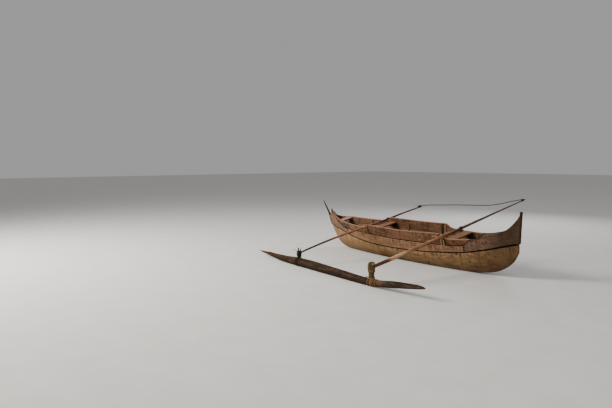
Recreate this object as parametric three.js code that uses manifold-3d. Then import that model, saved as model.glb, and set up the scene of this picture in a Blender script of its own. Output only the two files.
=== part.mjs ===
// An outrigger canoe: a dugout log with planked sides, two booms across it and a float log on pegs.
// Millimetres. +X runs to the bow, +Y to the float and +Z up. The craft rests on its keel and its float.
import * as THREE from "three";
import { mergeVertices } from "three/addons/utils/BufferGeometryUtils.js";
import Module from "manifold-3d";

const wasm = await Module();
wasm.setup();

// Driving dimensions of the hull.
const SEAM_HALF = 278;        // half the breadth where the dugout ends and the planks begin
const GUNWALE_HALF = 300;     // half the breadth at the gunwale
const PLAN_POWER = 2.5;       // how full the hull is in plan: a higher power is fuller
const DUGOUT_WALL = 27;
const DUGOUT_FLOOR = 45;
const PLANK = 18;
const JOINT = 0.5;            // clearance between one wooden piece and the next
const STEM_TONGUE = 11;       // half the thickness of the end posts where the planks lap them
const PLANK_END = 19;         // least half breadth of the hull, kept to its ends
const POST_FACE = 15;         // how far the end posts show beyond the boards
const FEATHER = 8;            // a scarf's thin end stops this far from its point
const STERN_SCARF = { low: -1236, high: -1372 };
const STEP_X = -870;          // where the raised edge ends, at the aft boom
const HEEL_DEG = 9.97;        // lean of hull and booms to the float side when the craft stands ashore
const WEAR = 4;               // depth of the flat that dragging has worn on the keel and the float

// Driving dimensions of the outrigger.
const FORE_BOOM_X = 690;
const AFT_BOOM_X = -905;
const FLOAT_Y = 1863;         // from the hull's middle to the float's, measured along the ground
const FLOAT_TOE = -0.028;     // the float runs slightly in towards the bow
const PEG_SINK = 62;          // depth of a peg's foot in the float

// Heights of the hull's long lines above the keel, from the stern to the bow.
const KEEL = [
  { x: -2008, z: 392 }, { x: -1951, z: 287 }, { x: -1886, z: 209 }, { x: -1805, z: 143 },
  { x: -1690, z: 77 }, { x: -1540, z: 32 }, { x: -1350, z: 8 }, { x: -1100, z: 0 },
  { x: 1250, z: 0 }, { x: 1480, z: 6 }, { x: 1610, z: 24 }, { x: 1710, z: 60 },
  { x: 1790, z: 116 }, { x: 1850, z: 190 }, { x: 1905, z: 288 }, { x: 1948, z: 380 },
];
const SEAM = [
  { x: -2030, z: 526 }, { x: -1900, z: 502 }, { x: -1770, z: 470 }, { x: -1630, z: 434 },
  { x: -1490, z: 402 }, { x: -1370, z: 376 }, { x: -1180, z: 343 }, { x: -840, z: 311 },
  { x: -465, z: 285 }, { x: -200, z: 272 }, { x: 150, z: 266 }, { x: 500, z: 270 },
  { x: 700, z: 278 }, { x: 870, z: 290 }, { x: 1040, z: 305 }, { x: 1235, z: 330 },
  { x: 1400, z: 362 }, { x: 1613, z: 392 }, { x: 1818, z: 418 }, { x: 1965, z: 434 },
];
const MIDDLE_SEAM = [
  { x: -1260, z: 456 }, { x: -1193, z: 451 }, { x: -964, z: 441 }, { x: -415, z: 438 },
  { x: 76, z: 436 }, { x: 580, z: 447 }, { x: 900, z: 450 }, { x: 1260, z: 455 },
];
const GUNWALE = [
  { x: -2090, z: 990 }, { x: -2036, z: 912 }, { x: -1984, z: 845 }, { x: -1918, z: 772 },
  { x: -1852, z: 718 }, { x: -1786, z: 683 }, { x: -1718, z: 654 }, { x: -1608, z: 620 },
  { x: -1509, z: 592 }, { x: -1391, z: 570 }, { x: -1209, z: 556 }, { x: -1015, z: 549 },
  { x: -880, z: 548 }, { x: 0, z: 549 }, { x: 600, z: 552 }, { x: 795, z: 554 },
  { x: 940, z: 556 }, { x: 1124, z: 562 }, { x: 1289, z: 572 }, { x: 1431, z: 583 },
  { x: 1560, z: 597 }, { x: 1660, z: 620 }, { x: 1710, z: 642 }, { x: 1760, z: 678 },
  { x: 1800, z: 722 }, { x: 1850, z: 785 }, { x: 1905, z: 668 }, { x: 1948, z: 636 }, { x: 2003, z: 620 },
];
// On the side away from the float the bow board stays lower and rises only close to the stem.
const GUNWALE_STARBOARD = [
  ...GUNWALE.filter((q) => q.x < 1440), { x: 1500, z: 590 }, { x: 1560, z: 590 }, { x: 1684, z: 591 },
  { x: 1771, z: 601 }, { x: 1858, z: 624 }, { x: 1905, z: 690 }, { x: 1948, z: 636 }, { x: 2003, z: 620 },
];
const RAISED_EDGE = [
  { x: -868, z: 621 }, { x: -599, z: 618 }, { x: -444, z: 613 }, { x: -112, z: 606 },
  { x: 64, z: 607 }, { x: 247, z: 610 }, { x: 430, z: 613 }, { x: 560, z: 616 },
  { x: 632, z: 612 }, { x: 652, z: 554 },
];
const RAISED_END = 652;
// On the side away from the float the raised edge runs down before it reaches the aft boom.
const RAISED_EDGE_STARBOARD = [
  { x: -870, z: 548 }, { x: -800, z: 549 }, { x: -700, z: 564 }, ...RAISED_EDGE.slice(1),
];

// Where each bow board meets the planks: up from a point on the seam, then in a long slope to the gunwale.
const BOW_SCARF = [
  { x: 1246, z: 332.3 }, { x: 1290, z: 398 }, { x: 1330, z: 428 }, { x: 1393, z: 455 }, { x: 1500, z: 502 },
  { x: 1560, z: 525 }, { x: 1613, z: 546 }, { x: 1660, z: 570 }, { x: 1710, z: 606 }, { x: 1760, z: 678 },
];
const BOW_SCARF_STARBOARD = [...BOW_SCARF.slice(0, 8), { x: 1710, z: 594 }];
const BOW_SCARF_MEETS = 1393; // where the slope leaves the joint between the two planks

// The ends of the hull seen from the side: how far the stem and the stern post reach at each height.
const BOW_END = [
  { z: 0, x: 1590 }, { z: 24, x: 1640 }, { z: 60, x: 1735 }, { z: 116, x: 1808 }, { z: 190, x: 1862 },
  { z: 288, x: 1914 }, { z: 400, x: 1960 }, { z: 486, x: 1990 }, { z: 611, x: 2014 }, { z: 700, x: 2045 },
  { z: 1000, x: 2150 },
];
const STERN_END = [
  { z: 0, x: 1500 }, { z: 32, x: 1600 }, { z: 77, x: 1715 }, { z: 143, x: 1825 }, { z: 209, x: 1905 },
  { z: 287, x: 1968 }, { z: 392, x: 2014 }, { z: 526, x: 2030 }, { z: 736, x: 2054 }, { z: 990, x: 2086 },
];

// Cross stations shared by every lengthwise piece, so that neighbouring edges run along each other.
const STATIONS = [
  -2008, -1985, -1951, -1886, -1805, -1718, -1608, -1509, -1440, -1372, -1300, -1236, -1100, -1015, -940,
  -870, -800, -700, -599, -444, -300, -112, 64, 247, 430, 560, 632, 652, 740, 870, 940, 1040, 1124, 1246,
  1290, 1330, 1393, 1500, 1560, 1613, 1660, 1710, 1760, 1800, 1850, 1905, 1948,
];

const group = new THREE.Group();
group.name = "outrigger_canoe";

const heel = new THREE.Matrix4().makeRotationX(THREE.MathUtils.degToRad(-HEEL_DEG));

// Reads one column of a table at a value of another, in straight steps between the rows.
function read(rows, from, to, value) {
  const ordered = rows[0][from] < rows[rows.length - 1][from] ? rows : [...rows].reverse();
  if (value <= ordered[0][from]) return ordered[0][to];
  for (let i = 1; i < ordered.length; i += 1) {
    const a = ordered[i - 1];
    const b = ordered[i];
    if (value <= b[from]) {
      return THREE.MathUtils.mapLinear(value, a[from], b[from], a[to], b[to]);
    }
  }
  return ordered[ordered.length - 1][to];
}

const heightOf = (rows) => (x) => read(rows, "x", "z", x);

// Heights along shared stations only, so that two pieces that follow one line meet along it exactly.
function alongStations(rows) {
  const exact = heightOf(rows);
  return (x) => {
    const after = STATIONS.findIndex((s) => s >= x);
    if (after <= 0) return exact(x);
    const a = STATIONS[after - 1];
    const b = STATIONS[after];
    return THREE.MathUtils.mapLinear(x, a, b, exact(a), exact(b));
  };
}

const keelAt = heightOf(KEEL);
const seamAt = alongStations(SEAM);
const middleSeamAt = alongStations(MIDDLE_SEAM);
const gunwaleAt = { port: alongStations(GUNWALE), starboard: alongStations(GUNWALE_STARBOARD) };
const raisedAt = { port: alongStations(RAISED_EDGE), starboard: alongStations(RAISED_EDGE_STARBOARD) };
const bowScarfAt = { port: alongStations(BOW_SCARF), starboard: alongStations(BOW_SCARF_STARBOARD) };
const bowScarfTip = { port: BOW_SCARF.at(-1).x, starboard: BOW_SCARF_STARBOARD.at(-1).x };

// Half the hull's breadth over its planks at a place along it and a height.
function halfBreadth(x, z) {
  const end = read(x > 0 ? BOW_END : STERN_END, "z", "x", z);
  const t = Math.min(Math.abs(x) / end, 1);
  const full = THREE.MathUtils.mapLinear(Math.min(z, 620), 270, 555, SEAM_HALF, GUNWALE_HALF);
  return full * (1 - t ** PLAN_POWER);
}

// Where the boards stop at one height, a little before the face of the end post.
function boardEnd(z, towards) {
  const reach = read(towards > 0 ? BOW_END : STERN_END, "z", "x", z);
  return towards * (reach - POST_FACE);
}

// A closed body through rings that all have the same number of points, with flat convex ends.
function loft(rings) {
  const n = rings[0].length;
  const positions = rings.flat().flatMap((p) => [p.x, p.y, p.z]);
  const index = [];
  for (let r = 0; r + 1 < rings.length; r += 1) {
    for (let k = 0; k < n; k += 1) {
      const a = r * n + k;
      const b = r * n + ((k + 1) % n);
      index.push(a, b, b + n, a, b + n, a + n);
    }
  }
  const last = (rings.length - 1) * n;
  for (let k = 1; k + 1 < n; k += 1) {
    index.push(0, k + 1, k);
    index.push(last, last + k, last + k + 1);
  }
  const geometry = new THREE.BufferGeometry();
  geometry.setAttribute("position", new THREE.Float32BufferAttribute(positions, 3));
  geometry.setIndex(index);
  return facingOut(geometry);
}

function signedVolume(geometry) {
  const p = geometry.getAttribute("position");
  const index = geometry.getIndex().array;
  const corner = [new THREE.Vector3(), new THREE.Vector3(), new THREE.Vector3()];
  let sum = 0;
  for (let i = 0; i < index.length; i += 3) {
    corner.forEach((v, k) => v.fromBufferAttribute(p, index[i + k]));
    sum += corner[0].dot(corner[1].clone().cross(corner[2]));
  }
  return sum / 6;
}

function facingOut(geometry) {
  if (signedVolume(geometry) > 0) return geometry;
  const index = Array.from(geometry.getIndex().array);
  for (let i = 0; i < index.length; i += 3) {
    [index[i + 1], index[i + 2]] = [index[i + 2], index[i + 1]];
  }
  geometry.setIndex(index);
  return geometry;
}

function solid(geometry) {
  const bare = geometry.clone();
  bare.deleteAttribute("normal");
  bare.deleteAttribute("uv");
  const merged = mergeVertices(bare, 1e-3);
  const mesh = new wasm.Mesh({
    numProp: 3,
    vertProperties: Float32Array.from(merged.getAttribute("position").array),
    triVerts: Uint32Array.from(merged.getIndex().array),
  });
  return new wasm.Manifold(mesh);
}

function geometryOf(manifold) {
  const mesh = manifold.getMesh();
  const geometry = new THREE.BufferGeometry();
  geometry.setAttribute("position", new THREE.Float32BufferAttribute(mesh.vertProperties, 3));
  geometry.setIndex(Array.from(mesh.triVerts));
  return geometry;
}

// The same shape grown a little all round, to cut a neighbour with clearance.
function grown(geometry, by = 0.7) {
  const bare = geometry.clone();
  bare.deleteAttribute("normal");
  const merged = mergeVertices(bare, 1e-3);
  merged.computeVertexNormals();
  const p = merged.getAttribute("position");
  const n = merged.getAttribute("normal");
  for (let i = 0; i < p.count; i += 1) {
    p.setXYZ(i, p.getX(i) + n.getX(i) * by, p.getY(i) + n.getY(i) * by, p.getZ(i) + n.getZ(i) * by);
  }
  return merged;
}

const cut = (geometry, ...tools) =>
  geometryOf(tools.reduce((rest, tool) => rest.subtract(solid(tool)), solid(geometry)));
const joined = (first, ...others) =>
  geometryOf(others.reduce((sum, geometry) => sum.add(solid(geometry)), solid(first)));
const leaned = (geometry) => geometry.applyMatrix4(heel);

function box(x0, x1, y0, y1, z0, z1) {
  const geometry = new THREE.BoxGeometry(x1 - x0, y1 - y0, z1 - z0);
  return geometry.translate((x0 + x1) / 2, (y0 + y1) / 2, (z0 + z1) / 2);
}

// A round pole through a list of {x, y, z, r}, with rings square to its run.
function pole(rows, sides = 12, swell = 0) {
  const points = rows.map((q) => new THREE.Vector3(q.x, q.y, q.z));
  const up = new THREE.Vector3(0, 0, 1);
  const rings = rows.map((q, i) => {
    const before = points[Math.max(i - 1, 0)];
    const after = points[Math.min(i + 1, points.length - 1)];
    const run = after.clone().sub(before).normalize();
    const across = (Math.abs(run.z) > 0.9 ? new THREE.Vector3(0, 1, 0) : up.clone()).cross(run).normalize();
    const over = run.clone().cross(across);
    return Array.from({ length: sides }, (_, k) => {
      const angle = (k / sides) * Math.PI * 2;
      return points[i].clone()
        .addScaledVector(across, Math.cos(angle) * (q.r + swell))
        .addScaledVector(over, Math.sin(angle) * (q.r + swell));
    });
  });
  return loft(rings);
}

// Pushes what lies below the ground up to it, which leaves the flat that dragging wears.
function wornAtGround(geometry) {
  const p = geometry.getAttribute("position");
  for (let i = 0; i < p.count; i += 1) p.setZ(i, Math.max(p.getZ(i), 0));
  return geometry;
}

function add(name, geometry, color, roughness = 0.85) {
  const shown = geometry.index ? geometry.toNonIndexed() : geometry;
  shown.computeVertexNormals();
  const mesh = new THREE.Mesh(shown, new THREE.MeshStandardMaterial({ color, roughness }));
  mesh.name = name;
  group.add(mesh);
}

// The dugout: a log hollowed from above, with solid ends.
function dugoutRing(x, inset, floor, lid) {
  const top = seamAt(x) + lid;
  const low = Math.min(keelAt(x) + floor, top - 4);
  const half = Math.max(halfBreadth(x, seamAt(x)) - inset, inset > 0 ? 4 : PLANK_END);
  const steps = 8;
  const right = Array.from({ length: steps + 1 }, (_, i) => {
    const angle = (i / steps) * (Math.PI / 2);
    const y = half * Math.sin(angle) ** 0.78;
    const z = low + (top - low) * (1 - Math.cos(angle) ** 0.85);
    return { y, z };
  });
  const left = right.slice(1).reverse().map((q) => ({ y: -q.y, z: q.z }));
  return [...left, ...right].map((q) => new THREE.Vector3(x, q.y, q.z));
}

function hollowFloor(x) {
  const reach = THREE.MathUtils.smoothstep(Math.abs(x), 1250, 1760);
  return DUGOUT_FLOOR + reach * (seamAt(x) - keelAt(x)) * 0.75;
}

const dugoutEnds = { stern: -2008, bow: 1948 };
const outerStations = STATIONS.filter((x) => x >= dugoutEnds.stern && x <= dugoutEnds.bow);
const innerStations = STATIONS.filter((x) => x > -1760 && x < 1740);
const log = loft(outerStations.map((x) => dugoutRing(x, 0, 0, 0)));
const hollow = loft(innerStations.map((x) => dugoutRing(x, DUGOUT_WALL, hollowFloor(x), 30)));
const dugout = leaned(cut(log, hollow));
dugout.computeBoundingBox();
const lift = -dugout.boundingBox.min.z - WEAR;
const skin = dugout.getAttribute("position");
const worn = Array.from({ length: skin.count }, (_, i) => i)
  .filter((i) => Math.abs(skin.getX(i)) < 300 && skin.getZ(i) < -lift)
  .map((i) => skin.getY(i));
const toKeel = -(Math.min(...worn) + Math.max(...worn)) / 2;
heel.premultiply(new THREE.Matrix4().makeTranslation(0, toKeel, lift));
add("dugout_hull", wornAtGround(dugout.translate(0, toKeel, lift)), 0xa08a63);

// A plank on one side between two long lines, which are heights at each place along it.
// An end is one x, or two when the end leans from its lower to its upper corner.
function plank(side, aftEnd, foreEnd, lowAt, highAt) {
  const [aft, fore] = [aftEnd, foreEnd].map((end) => (Array.isArray(end) ? end : [end, end]));
  const inner = STATIONS
    .filter((x) => x > Math.max(...aft) + 3 && x < Math.min(...fore) - 3)
    .map((x) => [x, x]);
  const rings = [aft, ...inner, fore].map(([low, high]) => {
    const corner = (x, z, inset) => {
      const outer = Math.max(halfBreadth(x, z), PLANK_END);
      return new THREE.Vector3(x, side * Math.max(outer - inset, Math.min(outer - 4, STEM_TONGUE)), z);
    };
    const z0 = lowAt(low) + JOINT;
    const z1 = highAt(high);
    return [corner(low, z0, 0), corner(high, z1, 0), corner(high, z1, PLANK), corner(low, z0, PLANK)];
  });
  return loft(rings);
}

// The stern boards meet the planks in a short upright cut, then a long slope.
const sternScarfAt = alongStations([{ x: STERN_SCARF.low, z: 456 }, { x: STERN_SCARF.high, z: 573 }]);
const under = (at) => (x) => at(x) - JOINT;
const SIDES = { port: 1, starboard: -1 };

for (const [word, side] of Object.entries(SIDES)) {
  const scarfAt = bowScarfAt[word];
  const tip = bowScarfTip[word];
  const lowerLow = (x) => (x >= BOW_SCARF[0].x ? scarfAt(x) : seamAt(x));
  const lowerFore = BOW_SCARF_MEETS - FEATHER;
  const lower = plank(side, STERN_SCARF.low + JOINT, lowerFore, lowerLow, under(middleSeamAt));
  add(`lower_strake_${word}`, leaned(lower), 0xa9946b);

  const topMidships = (x) => (x < RAISED_END ? raisedAt[word](x) : gunwaleAt[word](x));
  const upperLow = (x) => (x >= BOW_SCARF_MEETS ? scarfAt(x) : middleSeamAt(x));
  const upper = plank(side, STEP_X + JOINT, tip - FEATHER, upperLow, topMidships);
  add(`upper_strake_${word}`, leaned(upper), 0xb19a72);

  const aftLow = (x) => (x <= STERN_SCARF.low ? sternScarfAt(x) : middleSeamAt(x));
  const aft = plank(side, STERN_SCARF.high + FEATHER, STEP_X, aftLow, gunwaleAt[word]);
  add(`aft_strake_${word}`, leaned(aft), 0x9c7f59);

  const bowTop = (x) => (x < tip ? scarfAt(x) - JOINT : gunwaleAt[word](x));
  const bowEnd = [boardEnd(434, 1), boardEnd(620, 1)];
  const bow = plank(side, BOW_SCARF[0].x + FEATHER, bowEnd, seamAt, bowTop);
  add(`bow_board_${word}`, leaned(bow), 0xb79f7e);

  const sternTop = (x) => (x > STERN_SCARF.high ? sternScarfAt(x) - JOINT : gunwaleAt[word](x));
  const sternEnd = [boardEnd(526, -1), boardEnd(960, -1)];
  const stern = plank(side, sternEnd, STERN_SCARF.low - JOINT, seamAt, sternTop);
  add(`stern_board_${word}`, leaned(stern), 0x8d7a66);
}


// The stem: a tongue between the bow boards, a thicker head before them and a horn that rises from it.
function upright(profile, half) {
  const rings = [-half, half].map((y) => profile.map(([x, z]) => new THREE.Vector3(x, y, z)));
  return loft(rings);
}

const bowHead = [
  [1944, 437], [1973, 437], [1990, 486], [2014, 611], [2032, 652], [1992, 640], [1962, 560],
];
const bowTongue = [[1880, 437], [1950, 437], [1992, 640], [1905, 618]];
const horn = [
  { x: 1985, y: 0, z: 600, r: 20 }, { x: 2036, y: 0, z: 690, r: 17 }, { x: 2078, y: 0, z: 775, r: 14 },
  { x: 2120, y: 0, z: 850, r: 11 }, { x: 2150, y: 0, z: 918, r: 6 },
];

// The boards at one end, each with copies moved a little along every axis, to cut a post with clearance.
const boardsAt = (end) => Object.keys(SIDES).flatMap((word) => {
  const board = group.getObjectByName(`${end}_board_${word}`).geometry;
  const moves = [
    [0, 0, 0], [0.6, 0, 0], [-0.6, 0, 0], [0, 0.6, 0], [0, -0.6, 0], [0, 0, 0.6], [0, 0, -0.6],
  ];
  return moves.map((by) => board.clone().translate(...by));
});
const stem = joined(upright(bowTongue, STEM_TONGUE + 1), upright(bowHead, 18), pole(horn, 10));
add("stem_post", cut(leaned(stem), ...boardsAt("bow")), 0x4b3a2c);

const sternHead = [[-1985, 529], [-2031, 529], [-2056, 736], [-2088, 992], [-2062, 992], [-2036, 780]];
const sternTongue = [[-1930, 529], [-1990, 529], [-2052, 930], [-2036, 900], [-1990, 800]];
const sternPost = joined(upright(sternTongue, STEM_TONGUE + 1), upright(sternHead, 18));
add("stern_post", cut(leaned(sternPost), ...boardsAt("stern")), 0x4a392b);

// Crosspieces between the sides.
const allPlanks = () => group.children.filter((m) => /strake|board/.test(m.name));
const planks = (side) => allPlanks().filter((m) => m.name.endsWith(`_${side}`));
const THWARTS = [
  { name: "bow_thwart", x: 1560, width: 120, top: 578, thick: 20 },
  { name: "mid_thwart", x: 555, width: 150, top: 545, thick: 22 },
  { name: "aft_thwart", x: -1050, width: 165, top: 548, thick: 24 },
];
for (const { name, x, width, top, thick } of THWARTS) {
  const ends = [x - width / 2, x + width / 2];
  const rings = ends.map((at) => {
    const reach = halfBreadth(at, top - thick) - PLANK + 3;
    return [[-reach, top - thick], [reach, top - thick], [reach, top], [-reach, top]]
      .map(([y, z]) => new THREE.Vector3(at, y, z));
  });
  add(name, cut(leaned(loft(rings)), ...allPlanks().map((m) => grown(m.geometry))), 0xb39468);
}


// The booms lie across the gunwales and are naturally a little crooked. Heights are above the keel.
const FORE_BOOM = [
  { dx: 48, y: 1822, z: 518, r: 14.5 }, { dx: 38, y: 1450, z: 546, r: 16 },
  { dx: 24, y: 1000, z: 569, r: 18 }, { dx: 8, y: 560, z: 578, r: 19.5 },
  { dx: 2, y: 280, z: 578, r: 21 }, { dx: -6, y: -280, z: 579, r: 19 },
  { dx: -18, y: -640, z: 594, r: 16 }, { dx: -40, y: -930, z: 603, r: 13.5 },
  { dx: -56, y: -1170, z: 613, r: 11 },
];
const AFT_BOOM = [
  { dx: -34, y: 1826, z: 577, r: 24 }, { dx: -26, y: 1500, z: 571, r: 27 },
  { dx: -18, y: 1200, z: 568, r: 27.5 }, { dx: -12, y: 850, z: 568, r: 27 },
  { dx: -8, y: 560, z: 570, r: 26 }, { dx: -6, y: 280, z: 573.5, r: 24.5 },
  { dx: 6, y: -280, z: 572, r: 23 }, { dx: 20, y: -800, z: 574, r: 20 },
  { dx: 32, y: -1300, z: 578, r: 16.5 }, { dx: 44, y: -1800, z: 579, r: 13 },
  { dx: 58, y: -2260, z: 577, r: 9 },
];
const boomRows = (rows, x) => rows.map((q) => ({ x: x + q.dx, y: q.y, z: q.z, r: q.r }));
const foreBoom = leaned(pole(boomRows(FORE_BOOM, FORE_BOOM_X)));
const aftBoom = leaned(pole(boomRows(AFT_BOOM, AFT_BOOM_X)));
add("fore_boom", foreBoom.clone(), 0xa4713f);
add("aft_boom", aftBoom.clone(), 0xc59366);

// The float: a log lying along the ground, tapered both ways and bent up at its ends. `rise` is the
// height of its underside above the ground.
const FLOAT = [
  { x: -1866, rise: 151, r: 8 }, { x: -1840, rise: 144, r: 16 }, { x: -1783, rise: 132, r: 25 },
  { x: -1705, rise: 118, r: 32 }, { x: -1624, rise: 104, r: 36 }, { x: -1542, rise: 90, r: 40 },
  { x: -1458, rise: 76, r: 44 }, { x: -1284, rise: 48, r: 48.5 }, { x: -1103, rise: 24, r: 47.5 },
  { x: -912, rise: 7, r: 50 }, { x: -713, rise: 1, r: 54 }, { x: -503, rise: 0, r: 58 },
  { x: -284, rise: 0, r: 62 }, { x: -53, rise: 0, r: 65 }, { x: 191, rise: 0, r: 69 },
  { x: 447, rise: 0, r: 71 }, { x: 718, rise: 0, r: 70 }, { x: 1004, rise: 1, r: 61 },
  { x: 1153, rise: 5, r: 55 }, { x: 1307, rise: 13, r: 49 }, { x: 1465, rise: 30, r: 38 },
  { x: 1628, rise: 44, r: 32 }, { x: 1796, rise: 58, r: 20 }, { x: 1899, rise: 70, r: 12 },
  { x: 1969, rise: 79, r: 4 },
];
const floatAxis = (x) => FLOAT_Y + toKeel + FLOAT_TOE * x;
const floatRadius = (x) => read(FLOAT, "x", "r", x);
const floatHeight = (x) => floatRadius(x) + read(FLOAT, "x", "rise", x) - WEAR * 0.8;
const floatRow = (x, r) => ({ x, y: floatAxis(x), z: floatHeight(x), r });
const floatLog = wornAtGround(pole(FLOAT.map((q) => floatRow(q.x, q.r)), 16));

// Pegs stand in the float on both sides of each boom's end.
const PEGS = [
  { name: "aft_peg_rear", x: -977, r: 13, top: 338, leanX: -5, leanY: -6 },
  { name: "aft_peg_front", x: -902, r: 13, top: 324, leanX: -1, leanY: -4 },
  { name: "fore_peg_rear", x: 712, r: 10.5, top: 284, leanX: -2, leanY: -4 },
  { name: "fore_peg_front", x: 764, r: 11, top: 296, leanX: 3, leanY: -5 },
];
const pegs = PEGS.map(({ name, x, r, top, leanX, leanY }) => {
  const foot = floatHeight(x) + floatRadius(x) - PEG_SINK;
  const y0 = floatAxis(x);
  const rows = [
    { x, y: y0, z: foot, r: r * 0.8 }, { x, y: y0, z: foot + PEG_SINK, r },
    { x: x + leanX, y: y0 + leanY, z: top - 12, r },
    { x: x + leanX * 1.05, y: y0 + leanY * 1.05, z: top, r: r * 0.62 },
  ];
  return { name, geometry: pole(rows, 10) };
});

// A turn of rope let into the float under each boom's end. It is flat where it meets the ground.
function floatBand(x, width) {
  const rows = (swell, more) => [-width / 2 - more, 0, width / 2 + more].map((d) => (
    floatRow(x + d, floatRadius(x + d) + swell)
  ));
  return { around: wornAtGround(pole(rows(6, 0), 16)), core: pole(rows(-5, 5), 16) };
}
const BANDS = [
  { name: "fore_float_lashing", x: 738, width: 64 },
  { name: "aft_float_lashing", x: -953, width: 150 },
];
const bands = BANDS.map(({ name, x, width }) => ({ name, ...floatBand(x, width) }));
const bandRings = bands.map(({ name, around, core }) => ({ name, ring: cut(around, core) }));
const grownPegs = pegs.map(({ geometry }) => grown(geometry));
add("float_log", cut(floatLog, ...bandRings.map(({ ring }) => grown(ring)), ...grownPegs), 0x5d5647);
for (const { name, ring } of bandRings) add(name, cut(ring, ...grownPegs), 0xa99a55);
for (const { name, geometry } of pegs) add(name, cut(geometry, grown(foreBoom), grown(aftBoom)), 0x7d6a3c);

// Rope bound round the pegs and the boom's end.
const BINDINGS = [
  { name: "fore_peg_binding", boom: foreBoom, x: 738, low: 148, high: 246, halfX: 41, halfY: 22 },
  { name: "aft_peg_binding", boom: aftBoom, x: -940, low: 117, high: 322, halfX: 57, halfY: 27 },
];
for (const { name, boom, x, low, high, halfX, halfY } of BINDINGS) {
  const oval = ([z, share]) => Array.from({ length: 20 }, (_, k) => {
    const angle = (k / 20) * Math.PI * 2;
    const across = Math.sign(Math.cos(angle)) * Math.abs(Math.cos(angle)) ** 0.7;
    const along = Math.sign(Math.sin(angle)) * Math.abs(Math.sin(angle)) ** 0.7;
    return new THREE.Vector3(x + halfX * share * across, floatAxis(x) + halfY * share * along, z);
  });
  const rings = [[low, 0.93], [low + 12, 1], [high - 16, 1], [high, 0.84]].map(oval);
  add(name, cut(loft(rings), grown(boom), ...grownPegs), 0x8f8a45);
}

// Rope over each boom where it crosses a plank's edge, down both faces of the plank.
const LASHINGS = [
  { name: "fore_lashing_port", boom: foreBoom, x: FORE_BOOM_X + 2, side: 1, r: 21, z: 578 },
  { name: "fore_lashing_starboard", boom: foreBoom, x: FORE_BOOM_X - 6, side: -1, r: 19, z: 579 },
  { name: "aft_lashing_port", boom: aftBoom, x: AFT_BOOM_X - 6, side: 1, r: 24.5, z: 573.5 },
  { name: "aft_lashing_starboard", boom: aftBoom, x: AFT_BOOM_X + 6, side: -1, r: 23, z: 572 },
];
for (const { name, boom, x, side, r, z } of LASHINGS) {
  const outer = halfBreadth(x, 540);
  const faces = [outer + 8, outer - PLANK - 9].map((y) => y * side);
  const saddle = (y) => [
    [-r - 10, 455], [r + 10, 455], [r + 10, z + r * 0.5], [r * 0.62, z + r + 9], [-r * 0.62, z + r + 9],
    [-r - 10, z + r * 0.5],
  ].map(([dx, dz]) => new THREE.Vector3(x + dx, y, dz));
  const walls = planks(side > 0 ? "port" : "starboard").map((m) => grown(m.geometry));
  add(name, cut(leaned(loft(faces.map(saddle))), grown(boom), ...walls), 0x6f6247);
}

// A thin crooked pole ties the far ends of the two booms.
const TIE = [
  { t: -0.03, rise: -4 }, { t: 0.02, rise: 0 }, { t: 0.1, rise: 6 }, { t: 0.2, rise: -6 },
  { t: 0.3, rise: -16 }, { t: 0.4, rise: -28 }, { t: 0.55, rise: -52 }, { t: 0.66, rise: -66 },
  { t: 0.75, rise: -62 }, { t: 0.88, rise: -26 }, { t: 0.98, rise: -2 }, { t: 1.03, rise: 2 },
];
const tieEnds = [
  { x: FORE_BOOM_X - 55, y: -1125, z: 611 + 11.5 + 8.5 },
  { x: AFT_BOOM_X + 56, y: -2205, z: 577 + 9.5 + 8 },
];
const tieRows = TIE.map(({ t, rise }) => ({
  x: THREE.MathUtils.lerp(tieEnds[0].x, tieEnds[1].x, t),
  y: THREE.MathUtils.lerp(tieEnds[0].y, tieEnds[1].y, t),
  z: THREE.MathUtils.lerp(tieEnds[0].z, tieEnds[1].z, t) + rise,
  r: 7.5,
}));
const tie = cut(leaned(pole(tieRows, 8)), grown(foreBoom), grown(aftBoom));
add("tie_pole", tie.clone(), 0x3d2b20);
const TIE_KNOTS = [
  { name: "fore_tie_lashing", end: tieEnds[0], boom: foreBoom },
  { name: "aft_tie_lashing", end: tieEnds[1], boom: aftBoom },
];
for (const { name, end, boom } of TIE_KNOTS) {
  const knot = box(end.x - 24, end.x + 24, end.y - 16, end.y + 16, end.z - 44, end.z + 13);
  add(name, cut(leaned(knot), grown(boom), grown(tie)), 0x4f4230);
}

// Upright cleats inside the planks hold them in line over the dugout's edge. On the side away from the
// float a dark rib and a pale batten stand where the raised edge begins to run down.
const CLEATS = [
  { name: "side_cleat_port_1", side: 1, x: 1050, half: 18, top: 534 },
  { name: "side_cleat_port_2", side: 1, x: 200, half: 18, top: 524 },
  { name: "side_cleat_port_3", side: 1, x: -480, half: 18, top: 524 },
  { name: "side_cleat_starboard_1", side: -1, x: 1050, half: 18, top: 534 },
  { name: "side_cleat_starboard_2", side: -1, x: 200, half: 18, top: 524 },
  { name: "side_rib", side: -1, x: -538, half: 24, top: 604 },
  { name: "side_batten", side: -1, x: -588, half: 16, top: 596 },
];
for (const { name, side, x, half, top } of CLEATS) {
  const ring = (z) => {
    const face = halfBreadth(x, z) - PLANK + 2;
    const corners = [[-half, 0], [half, 0], [half, -16], [-half, -16]];
    return corners.map(([dx, d]) => new THREE.Vector3(x + dx, side * (face + d), z));
  };
  const foot = Math.max(seamAt(x - half), seamAt(x + half)) + JOINT;
  const walls = planks(side > 0 ? "port" : "starboard").map((m) => grown(m.geometry));
  add(name, cut(leaned(loft([foot, top].map(ring))), ...walls), name === "side_rib" ? 0x343a26 : 0x9a7d55);
}

export default group;
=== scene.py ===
"""An outrigger canoe ashore: a dugout log with planked sides, two booms across it and a float log on pegs."""

import bisect
import math

import bmesh
import bpy
from mathutils import Matrix, Vector, noise


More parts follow.
